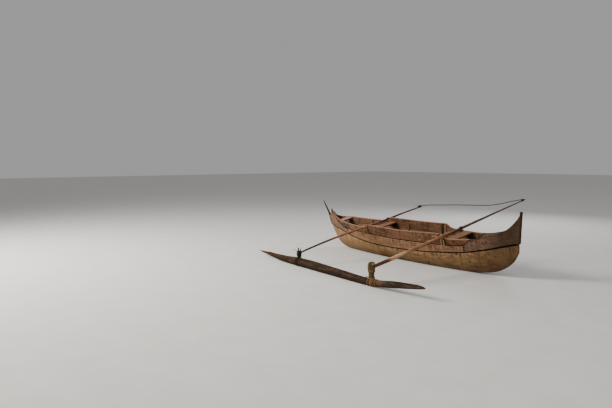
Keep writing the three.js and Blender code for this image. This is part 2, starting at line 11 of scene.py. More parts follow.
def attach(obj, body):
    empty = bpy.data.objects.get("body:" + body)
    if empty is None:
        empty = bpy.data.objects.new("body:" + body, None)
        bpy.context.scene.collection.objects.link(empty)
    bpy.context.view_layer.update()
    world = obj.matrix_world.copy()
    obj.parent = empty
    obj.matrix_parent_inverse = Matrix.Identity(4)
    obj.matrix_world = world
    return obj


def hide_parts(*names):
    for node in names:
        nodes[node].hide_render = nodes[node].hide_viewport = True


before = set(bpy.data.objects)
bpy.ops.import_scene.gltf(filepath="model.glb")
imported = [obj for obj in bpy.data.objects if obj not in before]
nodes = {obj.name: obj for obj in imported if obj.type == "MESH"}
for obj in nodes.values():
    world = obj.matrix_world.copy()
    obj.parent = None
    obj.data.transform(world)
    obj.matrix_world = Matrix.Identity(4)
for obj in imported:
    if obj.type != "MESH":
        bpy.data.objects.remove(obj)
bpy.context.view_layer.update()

MM = 0.001
TURN = 2 * math.pi
SIDES = (1, -1)  # port, where the float is, and starboard


def placed(name, data):
    """A new object in the scene."""
    made = bpy.data.objects.new(name, data)
    bpy.context.scene.collection.objects.link(made)
    return made


# Camera

CAMERA_AT = Vector((-5.641, 6.523, 1.665))
CAMERA_HEADING = Vector((0.7914, -0.6113, 0.0))
CAMERA_PITCH = math.radians(4.744)
CAMERA_ROLL = math.radians(-0.219)
FOCAL_PIXELS = 500.0
PHOTO_WIDTH = 612.0
SENSOR = 36.0


def place_camera():
    """Stands where the photograph was taken from, at a standing person's eye height."""
    heading = CAMERA_HEADING.normalized()
    forward = heading * math.cos(CAMERA_PITCH) - Vector((0, 0, math.sin(CAMERA_PITCH)))
    across = heading.cross(Vector((0, 0, 1)))
    above = across.cross(forward)
    right = across * math.cos(CAMERA_ROLL) + above * math.sin(CAMERA_ROLL)
    up = above * math.cos(CAMERA_ROLL) - across * math.sin(CAMERA_ROLL)
    data = bpy.data.cameras.new("beach_camera")
    data.sensor_width = SENSOR
    data.lens = SENSOR * FOCAL_PIXELS / PHOTO_WIDTH
    data.clip_end = 200.0
    data.dof.use_dof = False
    camera = placed("beach_camera", data)
    turn = Matrix((right, up, -forward)).transposed().to_4x4()
    camera.matrix_world = Matrix.Translation(CAMERA_AT) @ turn
    bpy.context.scene.camera = camera


place_camera()


# The hull's lines, in millimetres and in the craft's own level frame, as in the part's source

HEEL = math.radians(9.97)
TO_KEEL = -104.5787
LIFT = 5.1316
CRAFT = Matrix.Translation((0, TO_KEEL, LIFT)) @ Matrix.Rotation(-HEEL, 4, "X")
CRAFT_METRES = Matrix.Scale(MM, 4) @ CRAFT
TO_CRAFT = CRAFT_METRES.inverted()

SEAM_HALF = 278
GUNWALE_HALF = 300
PLAN_POWER = 2.5
FLARE_FROM = 270
FLARE_OVER = 285
FLARE_TOP = 620
LOG_FULL = 0.78
LOG_ROUND = 0.85
DUGOUT_WALL = 27
DUGOUT_FLOOR = 45
PLANK = 18
JOINT = 0.5
STEM_TONGUE = 11
PLANK_END = 19
POST_FACE = 15
FEATHER = 8
THINNEST = 4
STERN_SCARF = (-1236, -1372)
STEP_X = -870
FORE_BOOM_X = 690
AFT_BOOM_X = -905
FLOAT_Y = 1863
FLOAT_TOE = -0.028
WEAR = 4

KEEL = [
    (-2008, 392), (-1951, 287), (-1886, 209), (-1805, 143), (-1690, 77), (-1540, 32), (-1350, 8), (-1100, 0),
    (1250, 0), (1480, 6), (1610, 24), (1710, 60), (1790, 116), (1850, 190), (1905, 288), (1948, 380),
]
SEAM = [
    (-2030, 526), (-1900, 502), (-1770, 470), (-1630, 434), (-1490, 402), (-1370, 376), (-1180, 343),
    (-840, 311), (-465, 285), (-200, 272), (150, 266), (500, 270), (700, 278), (870, 290), (1040, 305),
    (1235, 330), (1400, 362), (1613, 392), (1818, 418), (1965, 434),
]
MIDDLE_SEAM = [
    (-1260, 456), (-1193, 451), (-964, 441), (-415, 438), (76, 436), (580, 447), (900, 450), (1260, 455),
]
GUNWALE = [
    (-2090, 990), (-2036, 912), (-1984, 845), (-1918, 772), (-1852, 718), (-1786, 683), (-1718, 654),
    (-1608, 620), (-1509, 592), (-1391, 570), (-1209, 556), (-1015, 549), (-880, 548), (0, 549), (600, 552),
    (795, 554), (940, 556), (1124, 562), (1289, 572), (1431, 583), (1560, 597), (1660, 620), (1710, 642),
    (1760, 678), (1800, 722), (1850, 785), (1905, 668), (1948, 636), (2003, 620),
]
GUNWALE_STARBOARD = [row for row in GUNWALE if row[0] < 1440] + [
    (1500, 590), (1560, 590), (1684, 591), (1771, 601), (1858, 624), (1905, 690), (1948, 636), (2003, 620),
]
RAISED = [
    (-599, 618), (-444, 613), (-112, 606), (64, 607), (247, 610), (430, 613), (560, 616), (632, 612),
    (652, 554),
]
RAISED_EDGE = {1: [(-868, 621), *RAISED], -1: [(-870, 548), (-800, 549), (-700, 564), *RAISED]}
RAISED_END = 652
SCARF = [
    (1246, 332.3), (1290, 398), (1330, 428), (1393, 455), (1500, 502), (1560, 525), (1613, 546), (1660, 570),
]
BOW_SCARF = {1: [*SCARF, (1710, 606), (1760, 678)], -1: [*SCARF, (1710, 594)]}
BOW_SCARF_MEETS = 1393
BOW_END = [
    (0, 1590), (24, 1640), (60, 1735), (116, 1808), (190, 1862), (288, 1914), (400, 1960), (486, 1990),
    (611, 2014), (700, 2045), (1000, 2150),
]
STERN_END = [
    (0, 1500), (32, 1600), (77, 1715), (143, 1825), (209, 1905), (287, 1968), (392, 2014), (526, 2030),
    (736, 2054), (990, 2086),
]


def between(a, b, t):
    return a + (b - a) * t


def smooth(low, high, value):
    t = min(max((value - low) / (high - low), 0), 1)
    return t * t * (3 - 2 * t)


def straight(a, b):
    return lambda x: between(a[1], b[1], (x - a[0]) / (b[0] - a[0]))


def curve(rows):
    """A smooth line through rows of (where, value) that never swings past them."""
    rows = sorted(rows)
    wheres = [w for w, _ in rows]
    values = [v for _, v in rows]
    gaps = [b - a for a, b in zip(wheres, wheres[1:])]
    steps = [(b - a) / gap for a, b, gap in zip(values, values[1:], gaps)]
    inner = [2 * a * b / (a + b) if a * b > 0 else 0.0 for a, b in zip(steps, steps[1:])]
    slopes = [steps[0], *inner, steps[-1]]

    def at(where):
        if where <= wheres[0]:
            return values[0]
        if where >= wheres[-1]:
            return values[-1]
        i = bisect.bisect_right(wheres, where) - 1
        gap = gaps[i]
        t = (where - wheres[i]) / gap
        rise = values[i] * (2 * t + 1) * (t - 1) ** 2 + values[i + 1] * (3 - 2 * t) * t * t
        lean = slopes[i] * t * (t - 1) ** 2 + slopes[i + 1] * (t - 1) * t * t
        return rise + lean * gap

    return at


keel_at = curve(KEEL)
seam_at = curve(SEAM)
middle_seam_at = curve(MIDDLE_SEAM)
gunwale_at = {1: curve(GUNWALE), -1: curve(GUNWALE_STARBOARD)}
raised_at = {side: curve(rows) for side, rows in RAISED_EDGE.items()}
bow_scarf_at = {side: curve(rows) for side, rows in BOW_SCARF.items()}
stern_scarf_at = straight((STERN_SCARF[0], 456), (STERN_SCARF[1], 573))
bow_end_at = curve(BOW_END)
stern_end_at = curve(STERN_END)


def log_low(x):
    """The log's underside, kept below its upper edge where the keel line runs out."""
    return min(keel_at(x), seam_at(x) - THINNEST)


def half_breadth(x, z):
    end = bow_end_at(z) if x > 0 else stern_end_at(z)
    full = between(SEAM_HALF, GUNWALE_HALF, (min(z, FLARE_TOP) - FLARE_FROM) / FLARE_OVER)
    return full * (1 - min(abs(x) / end, 1) ** PLAN_POWER)


def skin_half(x, z):
    return max(half_breadth(x, z), PLANK_END)


def side_half(x, z):
    """Half the breadth over the skin, of the log below the seam and of the planks above it."""
    top = seam_at(x)
    if z >= top:
        return skin_half(x, z)
    low = log_low(x)
    cos = (1 - min(max((z - low) / (top - low), 0), 1)) ** (1 / LOG_ROUND)
    return skin_half(x, top) * (1 - cos * cos) ** (LOG_FULL / 2)


def leaned(x, y, z):
    """A point of the level craft, in millimetres, where it stands on the ground, in metres."""
    return CRAFT_METRES @ Vector((x, y, z))


def on_skin(x, z, side):
    return leaned(x, side * side_half(x, z), z)


def outward(x, z, side, probe=4):
    """The direction that the hull's skin faces at a place along it and a height."""
    flare = (side_half(x + probe, z) - side_half(x - probe, z)) / (2 * probe)
    swell = (side_half(x, z + probe) - side_half(x, z - probe)) / (2 * probe)
    return (CRAFT.to_3x3() @ Vector((-flare, side, -swell)).normalized()).normalized()


# Tools for making pieces

def loft(rings):
    """Extrudes a closed ring of points through a row of rings and closes both ends."""
    made = bmesh.new()
    here = [made.verts.new(p) for p in rings[0]]
    first = edges = [made.edges.new(pair) for pair in zip(here, here[1:] + here[:1])]
    for ring in rings[1:]:
        grown = bmesh.ops.extrude_edge_only(made, edges=edges)["geom"]
        fresh = {v for v in grown if isinstance(v, bmesh.types.BMVert)}
        edges = [e for e in grown if isinstance(e, bmesh.types.BMEdge) and all(v in fresh for v in e.verts)]
        here = [next(e.other_vert(v) for e in v.link_edges if e.other_vert(v) in fresh) for v in here]
        for v, p in zip(here, ring):
            v.co = p
    for rim in (first, edges):
        bmesh.ops.contextual_create(made, geom=rim)
    bmesh.ops.recalc_face_normals(made, faces=made.faces)
    return made


def joined(parts):
    """Puts several meshes in the making into the first of them."""
    whole = parts[0]
    for part in parts[1:]:
        spare = bpy.data.meshes.new("spare")
        part.to_mesh(spare)
        part.free()
        whole.from_mesh(spare)
        bpy.data.meshes.remove(spare)
    return whole


def piece(name, made, material, slot, replaced=(), crease=60, bevel=0.0):
    """Finishes a piece: it rides with the canoe and stands for the CAD nodes that it replaces."""
    mesh = bpy.data.meshes.new(name)
    made.to_mesh(mesh)
    made.free()
    mesh.materials.append(material)
    mesh.polygons.foreach_set("use_smooth", [True] * len(mesh.polygons))
    mesh.set_sharp_from_angle(angle=math.radians(crease))
    made_object = placed(name, mesh)
    if bevel:
        edge = made_object.modifiers.new("worn_edges", "BEVEL")
        edge.width = bevel
        edge.segments = 2
        edge.limit_method = "ANGLE"
        edge.angle_limit = math.radians(crease)
    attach(made_object, "root")
    if replaced:
        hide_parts(*replaced)


def stations(low, high, gap, *kept):
    """Places along the hull at even gaps, with some places kept exactly."""
    count = max(int(math.ceil((high - low) / gap)), 1)
    even = [low + (high - low) * i / count for i in range(count + 1)]
    near = [x for x in even if all(abs(x - k) > gap * 0.4 for k in kept) or x in (low, high)]
    return sorted(set(near) | {k for k in kept if low < k < high})


def mark(made, name, value):
    """Writes a number on each point of a mesh, from its normal and its place in the craft's frame."""
    layer = made.verts.layers.float.new(name)
    made.normal_update()
    for vert in made.verts:
        vert[layer] = value(vert.normal, *(TO_CRAFT @ vert.co))


def hum(*place):
    """Smooth noise from -1 to 1, with features about 1 across."""
    return noise.noise(Vector(place))


def bumps(x, y, z, size, seed=0.0):
    """Smooth noise for a point in millimetres, with features of one size."""
    return hum(x / size + seed, y / size - seed, z / size + 0.5 * seed)


def round_about(angle):
    return Vector((math.cos(angle), math.sin(angle), 0))


# Poles and pegs are drawn along a line of rows: a point and a radius, in metres

def spread(rows, gap):
    """Rows at even gaps along a smooth line through the given rows."""
    run = [0.0]
    for a, b in zip(rows, rows[1:]):
        run.append(run[-1] + (b[0] - a[0]).length)
    lines = [curve([(r, row[0][k]) for r, row in zip(run, rows)]) for k in range(3)]
    radius = curve([(r, row[1]) for r, row in zip(run, rows)])
    count = max(int(run[-1] / gap), 2)
    wheres = [run[-1] * i / count for i in range(count + 1)]
    return [(Vector([line(where) for line in lines]), radius(where)) for where in wheres]


def frames(points, closed=False):
    """Directions across a line at each of its points, turning as little as they can."""
    count = len(points)
    found = []
    across = None
    for i in range(count):
        if closed:
            run = points[(i + 1) % count] - points[i - 1]
        else:
            run = points[min(i + 1, count - 1)] - points[max(i - 1, 0)]
        run.normalize()
        if across is None:
            start = Vector((0, 0, 1)) if abs(run.z) < 0.9 else Vector((0, 1, 0))
            across = start.cross(run).normalized()
        across = (across - run * across.dot(run)).normalized()
        found.append((across.copy(), run.cross(across)))
    return found


def closing_twist(points, across):
    """How far the directions across a closed line have turned when they come back to its start."""
    run = (points[1] - points[-1]).normalized()
    last = across[-1][0]
    last = (last - run * last.dot(run)).normalized()
    first, other = across[0]
    return math.atan2(-last.dot(other), last.dot(first))


def stick(rows, sides, gap, relief):
    """A round body along rows, whose skin `relief` lowers by a share of the radius."""
    rows = spread(rows, gap)
    rings = []
    for i, ((point, radius), (across, over)) in enumerate(zip(rows, frames([p for p, _ in rows]))):
        ring = []
        for k in range(sides):
            angle = TURN * k / sides
            reach = radius * (1 - relief(i / (len(rows) - 1), angle, point))
            ring.append(point + across * math.cos(angle) * reach + over * math.sin(angle) * reach)
        rings.append(ring)
    return loft(rings)


# Rope is laid from three strands, each a curve with a round section. These lengths are in radii of the rope

ROPE_PITCH = 5.0
ROPE_STEP = 0.9
STRAND_RADIUS = 0.56
STRAND_OUT = 0.48
ROPE_WELD = 0.00001  # metres


def rope(name, paths, cord, material, slot, replaced=()):
    """Ropes with a radius of `cord` millimetres along paths, each of three strands, made one mesh."""
    radius = cord * MM
    data = bpy.data.curves.new(name, "CURVE")
    data.dimensions = "3D"
    data.bevel_depth = radius * STRAND_RADIUS
    data.bevel_resolution = 1
    data.use_fill_caps = True
    for points, closed in paths:
        rows = [(p, radius) for p in points]
        if closed:
            rows.append(rows[0])
        even = [p for p, _ in spread(rows, radius * ROPE_STEP)]
        if closed:
            even = even[:-1]
        across = frames(even, closed)
        leftover = closing_twist(even, across) if closed else 0.0
        turns = max(round(len(even) * ROPE_STEP / ROPE_PITCH), 1)
        for strand in range(3):
            spline = data.splines.new("POLY")
            spline.points.add(len(even) - 1)
            for i, (point, (one, other)) in enumerate(zip(even, across)):
                angle = TURN * (turns * i / len(even) + strand / 3) + leftover * i / len(even)
                place = point + (one * math.cos(angle) + other * math.sin(angle)) * radius * STRAND_OUT
                spline.points[i].co = (*place, 1)
            spline.use_cyclic_u = closed
    drawn = placed(name + "_line", data)
    bpy.context.view_layer.update()
    mesh = bpy.data.meshes.new_from_object(drawn.evaluated_get(bpy.context.evaluated_depsgraph_get()))
    bpy.data.objects.remove(drawn)
    made = bmesh.new()
    made.from_mesh(mesh)
    bpy.data.meshes.remove(mesh)
    bmesh.ops.remove_doubles(made, verts=made.verts, dist=ROPE_WELD)
    bmesh.ops.recalc_face_normals(made, faces=made.faces)
    piece(name, made, material, slot, replaced)


# Finishes. A colour is given as it looks on a screen, red, green and blue from 0 to 255

def tone(red, green, blue):
    """A colour as the light value that the shaders use."""
    return (*[((c / 255 + 0.055) / 1.055) ** 2.4 if c > 10 else c / 3294.6 for c in (red, green, blue)], 1)


class Finish:
    """A material in the making: a shader, the object's own coordinates, and colours laid over each other."""

    def __init__(self, name):
        self.material = bpy.data.materials.new(name)
        self.material.use_nodes = True
        self.tree = self.material.node_tree
        self.shader = self.tree.nodes["Principled BSDF"]
        self.place = self.node("ShaderNodeTexCoord", "Object")
        self.colour = None

    def feed(self, made, values):
        """Links inputs of a node, or sets them to numbers of their own."""
        for key, value in values.items():
            if isinstance(value, bpy.types.NodeSocket):
                self.tree.links.new(value, made.inputs[key])
            else:
                made.inputs[key].default_value = value

    def node(self, kind, out, values={}, **settings):
        """Adds a node and gives one of its outputs."""
        made = self.tree.nodes.new(kind)
        for key, value in settings.items():
            setattr(made, key, value)
        self.feed(made, values)
        return made.outputs[out]

    def mapped(self, scale, shift=(0, 0, 0)):
        values = {"Vector": self.place, "Scale": scale, "Location": shift}
        return self.node("ShaderNodeMapping", "Vector", values)

    def noise(self, scale, detail, rough, swirl=0.0, shift=(0, 0, 0)):
        values = {"Vector": self.mapped(scale, shift), "Scale": 1.0, "Detail": detail, "Roughness": rough}
        return self.node("ShaderNodeTexNoise", "Fac", {**values, "Distortion": swirl})

    def cells(self, scale):
        values = {"Vector": self.mapped(scale), "Scale": 1.0}
        return self.node("ShaderNodeTexVoronoi", "Distance", values, feature="DISTANCE_TO_EDGE")

    def ranged(self, value, low, high, to_low=0.0, to_high=1.0):
        values = {"Value": value, "From Min": low, "From Max": high, "To Min": to_low, "To Max": to_high}
        return self.node("ShaderNodeMapRange", "Result", values, interpolation_type="SMOOTHSTEP")

    def reckon(self, how, a, b):
        return self.node("ShaderNodeMath", 0, {0: a, 1: b}, operation=how)

    def times(self, a, b):
        return self.reckon("MULTIPLY", a, b)

    def plus(self, a, b):
        return self.reckon("ADD", a, b)

    def minus(self, a, b):
        return self.reckon("SUBTRACT", a, b)

    def coordinate(self, axis):
        return self.node("ShaderNodeSeparateXYZ", axis, {"Vector": self.place})

    def painted(self, name):
        return self.node("ShaderNodeAttribute", "Fac", attribute_name=name)

    def ramp(self, value, *stops):
        """Starts the colour, from places on a scale and the colours there."""
        made = self.tree.nodes.new("ShaderNodeValToRGB")
        while len(made.color_ramp.elements) < len(stops):
            made.color_ramp.elements.new(0.5)
        for element, (where, colour) in zip(made.color_ramp.elements, stops):
            element.position = where
            element.color = tone(*colour)
        self.feed(made, {"Fac": value})
        self.colour = made.outputs["Color"]

    def lay(self, colour, share, how="MIX"):
        """Lays a colour over the others where `share` says."""
        values = {0: share, 6: self.colour, 7: tone(*colour)}
        self.colour = self.node("ShaderNodeMix", 2, values, data_type="RGBA", blend_type=how)

    def stretch(self, uneven, axis, ends, shade, share):
        """Tints a stretch along one axis, from none at `ends[0]` to full from `ends[1]` to `ends[2]`."""
        place = self.plus(self.coordinate(axis), self.times(uneven, 2 * UNEVEN_END))
        opened = self.ranged(place, ends[0] + UNEVEN_END, ends[1] + UNEVEN_END, 0.0, share)
        closed = self.ranged(place, ends[2] + UNEVEN_END, ends[3] + UNEVEN_END, 1.0, 0.0)
        self.lay(shade, self.times(opened, closed))

    def done(self, rough, relief, depth, strength=0.6, gloss=0.2):
        values = {"Height": relief, "Distance": depth, "Strength": strength}
        bump = self.node("ShaderNodeBump", "Normal", values)
        values = {"Base Color": self.colour, "Roughness": rough, "Normal": bump, "Specular IOR Level": gloss}
        self.feed(self.shader, values)
        return self.material


UNEVEN_END = 0.125  # metres that the end of a tint wanders to either side
SPECK = (34, 22, 12)
PITCH = (26, 16, 10)
DARK_PATCH = (44, 31, 24)
FLECK = (178, 166, 156)
WELL_SHADE = (30, 19, 13)
CHECK = (22, 14, 9)
FISSURE = (20, 14, 9)
WET_AND_SHADED_FOOT = (26, 19, 13)


def along(run, fine, long):
    """Scales that stretch a pattern along one direction."""
    return tuple(long if axis == run else fine for axis in "XYZ")


def wood(name, dark, middle, light, run="X", grain=70.0, seed=0.0, cloudy=0.4, blotch=None, stretches=(),
         drips=None, damp_and_shade=None, specks=0.5, edge_wear_and_shade=None, pitch=0.0, dark_patch_share=0.0, underside_shade=None, inner=0.0,
         checks=0.5, rough=(0.72, 0.95), depth=0.0012):
    """Bare weathered wood: stretched fibres, blotches, drips below its edge, fine checks and a foot darkened
    as damp and as painted shade.
    """
    made = Finish(name)
    shift = (seed, 2.3 * seed, 0)
    coarse = made.noise(along(run, grain, grain * 0.05), 7.0, 0.62, 0.4, shift)
    fine = made.noise(along(run, grain * 5, grain * 0.16), 3.0, 0.6, 0.0, shift)
    field = made.plus(made.times(coarse, 0.72), made.times(fine, 0.28))
    made.ramp(field, (0.36, dark), (0.5, middle), (0.64, light))
    patch = made.noise((3.1, 3.1, 4.2), 5.0, 0.62, 0.2, shift)
    cloud = made.noise((11, 9, 14), 3.0, 0.55, 0.0, shift)
    made.lay(dark, made.ranged(cloud, 0.42, 0.64, 0.0, cloudy))
    if blotch:
        made.lay(blotch[0], made.ranged(patch, 0.46, 0.6, 0.0, blotch[1]))
    for tint in stretches:
        made.stretch(patch, *tint)
    if drips:
        run_down = made.noise((26, 4, 1.6), 3.0, 0.6, 0.0, shift)
        streak = made.ranged(run_down, 0.5, 0.64, 0.0, drips[1])
        nearer = made.ranged(made.painted("under_edge"), 0.01, 0.17, 1.0, 0.3)
        made.lay(drips[0], made.times(streak, nearer), "MULTIPLY")
    # Darker towards the ground: partly damp, partly painted shade under the hull.
    if damp_and_shade:
        edge = made.minus(made.coordinate("Z"), made.times(patch, 0.16))
        made.lay(damp_and_shade[0], made.ranged(edge, damp_and_shade[1] - 0.08, damp_and_shade[1] + 0.1, damp_and_shade[2], 0.0))
    made.lay(SPECK, made.ranged(made.noise((64, 64, 48), 2.0, 0.5, 0.0, shift), 0.66, 0.74, 0.0, specks))
    # A band under the upper edge: lighter wear on most planks, dark painted shade along the stern boards'
    # edge.
    if edge_wear_and_shade:
        made.lay(edge_wear_and_shade[0], made.ranged(made.painted("under_edge"), 0.002, 0.014, edge_wear_and_shade[1], 0.0))
    if pitch:
        made.lay(PITCH, made.ranged(made.painted("over_seam"), 0.004, 0.016, pitch, 0.0))
    # A dark patch with pale flecks on the planks near the bow scarf.
    if dark_patch_share:
        blot = made.ranged(made.plus(made.painted("dark_patch_depth"), made.times(cloud, 0.16)), 0.07, 0.092)
        made.lay(DARK_PATCH, made.times(blot, dark_patch_share))
        made.lay(FLECK, made.times(blot, made.ranged(made.noise((120, 120, 90), 2.0, 0.5), 0.64, 0.7)))
    # Painted shade on faces that look down, such as the booms' undersides.
    if underside_shade:
        made.lay(underside_shade[0], made.ranged(made.painted("underside"), 0.02, 0.45, 0.0, underside_shade[1]))
    # Painted shade: the inner faces of the hull are darker low down in the well.
    if inner:
        low = made.ranged(made.coordinate("Z"), 0.33, 0.5, inner, 0.0)
        made.lay(WELL_SHADE, made.times(low, made.painted("inside")))
    split = made.cells(along(run, grain * 0.45, grain * 0.012))
    line = made.times(made.ranged(split, 0.0, 0.035, 1.0, 0.0), made.ranged(cloud, 0.45, 0.6))
    made.lay(CHECK, made.times(line, checks))
    relief = made.minus(field, made.times(line, 0.6))
    return made.done(made.ranged(patch, 0.3, 0.7, rough[1], rough[0]), relief, depth)


def bark(name, dark, middle, light, green, *stretches):
    """Rough bark-like wood with long fissures, a little green and a foot darkened as wet and as painted
    shade.
    """
    made = Finish(name)
    grain = 34.0
    body = made.noise(along("X", grain, grain * 0.09), 8.0, 0.68, 0.8)
    split = made.cells(along("X", grain * 0.8, grain * 0.06))
    made.ramp(body, (0.35, dark), (0.5, middle), (0.66, light))
    made.lay(FISSURE, made.ranged(split, 0.0, 0.09, 0.75, 0.0))
    patch = made.noise((5, 5, 7), 4.0, 0.6)
    made.lay(green, made.ranged(patch, 0.5, 0.68, 0.0, 0.6))
    for tint in stretches:
        made.stretch(patch, *tint)
    # Darker near the ground: partly wet, partly painted shade under the float.
    edge = made.minus(made.coordinate("Z"), made.times(patch, 0.05))
    made.lay(WET_AND_SHADED_FOOT, made.ranged(edge, -0.01, 0.07, 0.9, 0.0))
    relief = made.plus(body, made.ranged(split, 0.0, 0.12))
    return made.done(made.ranged(patch, 0.3, 0.7, 0.95, 0.7), relief, 0.004, gloss=0.12)


def fibre(name, dark, light, stain, share=0.5):
    """Old rope: short fibres, soiled here and there."""
    made = Finish(name)
    hair = made.noise((420, 420, 420), 3.0, 0.6)
    made.ramp(hair, (0.35, dark), (0.65, light))
    soil = made.noise((26, 26, 26), 3.0, 0.6)
    made.lay(stain, made.ranged(soil, 0.48, 0.68, 0.0, share))
    return made.done(made.ranged(soil, 0.3, 0.7, 0.9, 0.98), hair, 0.0006, gloss=0.1)


def caulk(name, dark, light):
    """Pitch and fibre pressed into a seam."""
    made = Finish(name)
    lumps = made.noise((90, 90, 90), 4.0, 0.6)
    made.ramp(lumps, (0.35, dark), (0.7, light))
    return made.done(made.ranged(lumps, 0.3, 0.7, 0.85, 0.97), lumps, 0.0015, gloss=0.04)


BEFORE = (-10.0, -9.0)  # ends of a tint that lie off the craft
BEYOND = (9.0, 10.0)

log_wood = wood(
    "dugout_wood", (86, 62, 37), (125, 95, 62), (154, 122, 85), grain=42, blotch=((146, 116, 76), 0.5),
    drips=((120, 96, 66), 0.6), damp_and_shade=((70, 49, 30), 0.08, 0.45), specks=0.6, depth=0.0016, inner=0.6,
    stretches=[
        # Lighter towards the bow: painted light. Darker towards the stern: partly damp, partly painted shade.
        ("X", (0.7, 1.2, *BEYOND), (158, 122, 92), 0.5), ("X", (*BEFORE, -1.75, -1.2), (66, 44, 25), 0.72),
    ],
)
strake_wood = wood(
    "strake_wood", (92, 65, 45), (130, 97, 70), (156, 121, 90), grain=64, blotch=((98, 70, 46), 0.55),
    drips=((120, 92, 68), 0.5), specks=0.55, seed=1.7, edge_wear_and_shade=((140, 106, 78), 0.4), pitch=0.75, dark_patch_share=0.85,
    # Lighter towards the bow: painted light.
    inner=0.6, stretches=[("X", (0.85, 1.15, *BEYOND), (146, 112, 84), 0.45)],
)
upper_wood = wood(
    "upper_strake_wood", (56, 34, 22), (90, 60, 40), (118, 84, 58), grain=64, blotch=((112, 80, 54), 0.5),
    drips=((116, 86, 64), 0.55), specks=0.6, seed=4.1, edge_wear_and_shade=((172, 126, 104), 0.7), pitch=0.7, dark_patch_share=0.85,
    # Lighter towards the bow: painted light.
    inner=0.6, stretches=[("X", (0.75, 1.1, *BEYOND), (128, 96, 70), 0.55)],
)
aft_wood = wood(
    "aft_strake_wood", (56, 32, 17), (108, 73, 48), (138, 101, 71), cloudy=0.7, blotch=((76, 47, 28), 0.6),
    drips=((108, 78, 54), 0.55), specks=0.8, seed=7.3, edge_wear_and_shade=((168, 126, 94), 0.8), pitch=0.7,
)
bow_wood = wood(
    "bow_board_wood", (84, 59, 46), (128, 98, 80), (158, 126, 106), grain=58, cloudy=0.6,
    blotch=((104, 75, 58), 0.5), drips=((124, 94, 74), 0.7), specks=0.4, seed=2.9,
    # Dark from 0.65 m up, at the prow's tip: painted shade.
    edge_wear_and_shade=((164, 126, 104), 0.5), pitch=0.7, stretches=[("Z", (0.65, 0.71, *BEYOND), (40, 26, 19), 0.88)],
)
stern_wood = wood(
    "stern_board_wood", (74, 53, 40), (104, 79, 62), (132, 103, 83), grain=50, blotch=((80, 57, 42), 0.5),
    # The dark band under the stern boards' upper edge is painted shade.
    drips=((118, 94, 76), 0.5), specks=0.4, seed=5.5, rough=(0.62, 0.85), edge_wear_and_shade=((34, 20, 11), 0.9), pitch=0.8,
    # Darker towards the stern end: painted shade.
    stretches=[("X", (*BEFORE, -1.86, -1.5), (50, 32, 20), 0.8)],
)
post_wood = wood("end_post_wood", (26, 16, 10), (42, 27, 17), (62, 43, 29), "Z", specks=0.3, seed=3.3)
board_wood = wood(
    "thwart_wood", (100, 67, 48), (138, 97, 72), (168, 126, 98), "Y", 60, blotch=((104, 70, 48), 0.4),
    specks=0.4, seed=6.1, checks=0.12,
    stretches=[
        ("X", (*BEFORE, -0.95, -0.9), (104, 70, 44), 0.6), ("X", (1.1, 1.2, *BEYOND), (190, 156, 136), 0.55),
    ],
)
cleat_wood = wood("cleat_wood", (70, 45, 30), (98, 68, 47), (124, 91, 66), "Z", 60, specks=0.4, seed=8.2)
rib_wood = wood("side_rib_wood", (24, 22, 13), (40, 33, 20), (60, 46, 30), "Z", 60, specks=0.2, seed=9.4)
boom_wood = wood(
    "aft_boom_wood", (112, 70, 42), (164, 114, 76), (202, 152, 108), "Y", 75, blotch=((134, 88, 56), 0.35),
    specks=0.3, rough=(0.5, 0.8), seed=1.1, underside_shade=((40, 22, 12), 0.8),
    stretches=[
        # A cream band near the float end: painted highlight.
        ("Y", (0.98, 1.22, 1.36, 1.5), (232, 184, 142), 0.65),
        ("Y", (*BEFORE, -0.1, 0.3), (78, 50, 35), 0.84), ("Y", (1.36, 1.5, *BEYOND), (70, 38, 27), 0.8),
    ],
)
fore_boom_wood = wood(
    "fore_boom_wood", (100, 60, 36), (160, 108, 76), (196, 142, 108), "Y", 80, blotch=((104, 64, 38), 0.4),
    specks=0.35, rough=(0.55, 0.85), seed=2.2, underside_shade=((26, 13, 7), 0.9),
    stretches=[
        ("Y", (*BEFORE, -0.2, 0.1), (50, 31, 20), 0.88), ("Y", (0.95, 1.35, *BEYOND), (46, 28, 17), 0.85),
    ],
)
stick_wood = wood("tie_pole_wood", (26, 15, 9), (44, 28, 18), (66, 45, 30), grain=60, specks=0.2, seed=5.1)
peg_wood = wood("peg_wood", (60, 36, 16), (94, 62, 32), (132, 98, 58), "Z", specks=0.4, seed=6.6)
float_wood = bark(
    "float_bark", (29, 20, 13), (56, 40, 28), (90, 66, 49), (60, 50, 31),
    ("X", (-1.19, -1.12, -1.06, -1.0), (112, 78, 50), 0.45),
)
peg_rope = fibre("peg_rope_fibre", (62, 48, 24), (124, 102, 62), (52, 42, 20))
lash_rope = fibre("lashing_fibre", (58, 40, 26), (118, 90, 62), (28, 18, 11), 0.75)
pale_rope = fibre("pale_lashing_fibre", (116, 90, 60), (184, 152, 112), (92, 66, 40), 0.4)
cream_rope = fibre("cream_lashing_fibre", (166, 146, 124), (232, 218, 200), (150, 122, 96), 0.3)
tan_rope = fibre("float_lashing_fibre", (92, 64, 38), (168, 128, 84), (60, 40, 22))
dark_rope = fibre("dark_lashing_fibre", (28, 20, 12), (64, 48, 32), (18, 12, 8), 0.6)
dark_caulk = caulk("seam_pitch", (9, 6, 4), (24, 16, 10))
red_stain = caulk("red_smear_paint", (120, 40, 22), (156, 60, 36))


# The hull

def weather(made, depth):
    """Moves the skin inward by `depth`, which gives millimetres for a place in the craft's frame."""
    made.normal_update()
    moves = [(vert, vert.normal * depth(*(TO_CRAFT @ vert.co)) * MM) for vert in made.verts]
    for vert, move in moves:
        vert.co -= move
        vert.co.z = max(vert.co.z, 0)


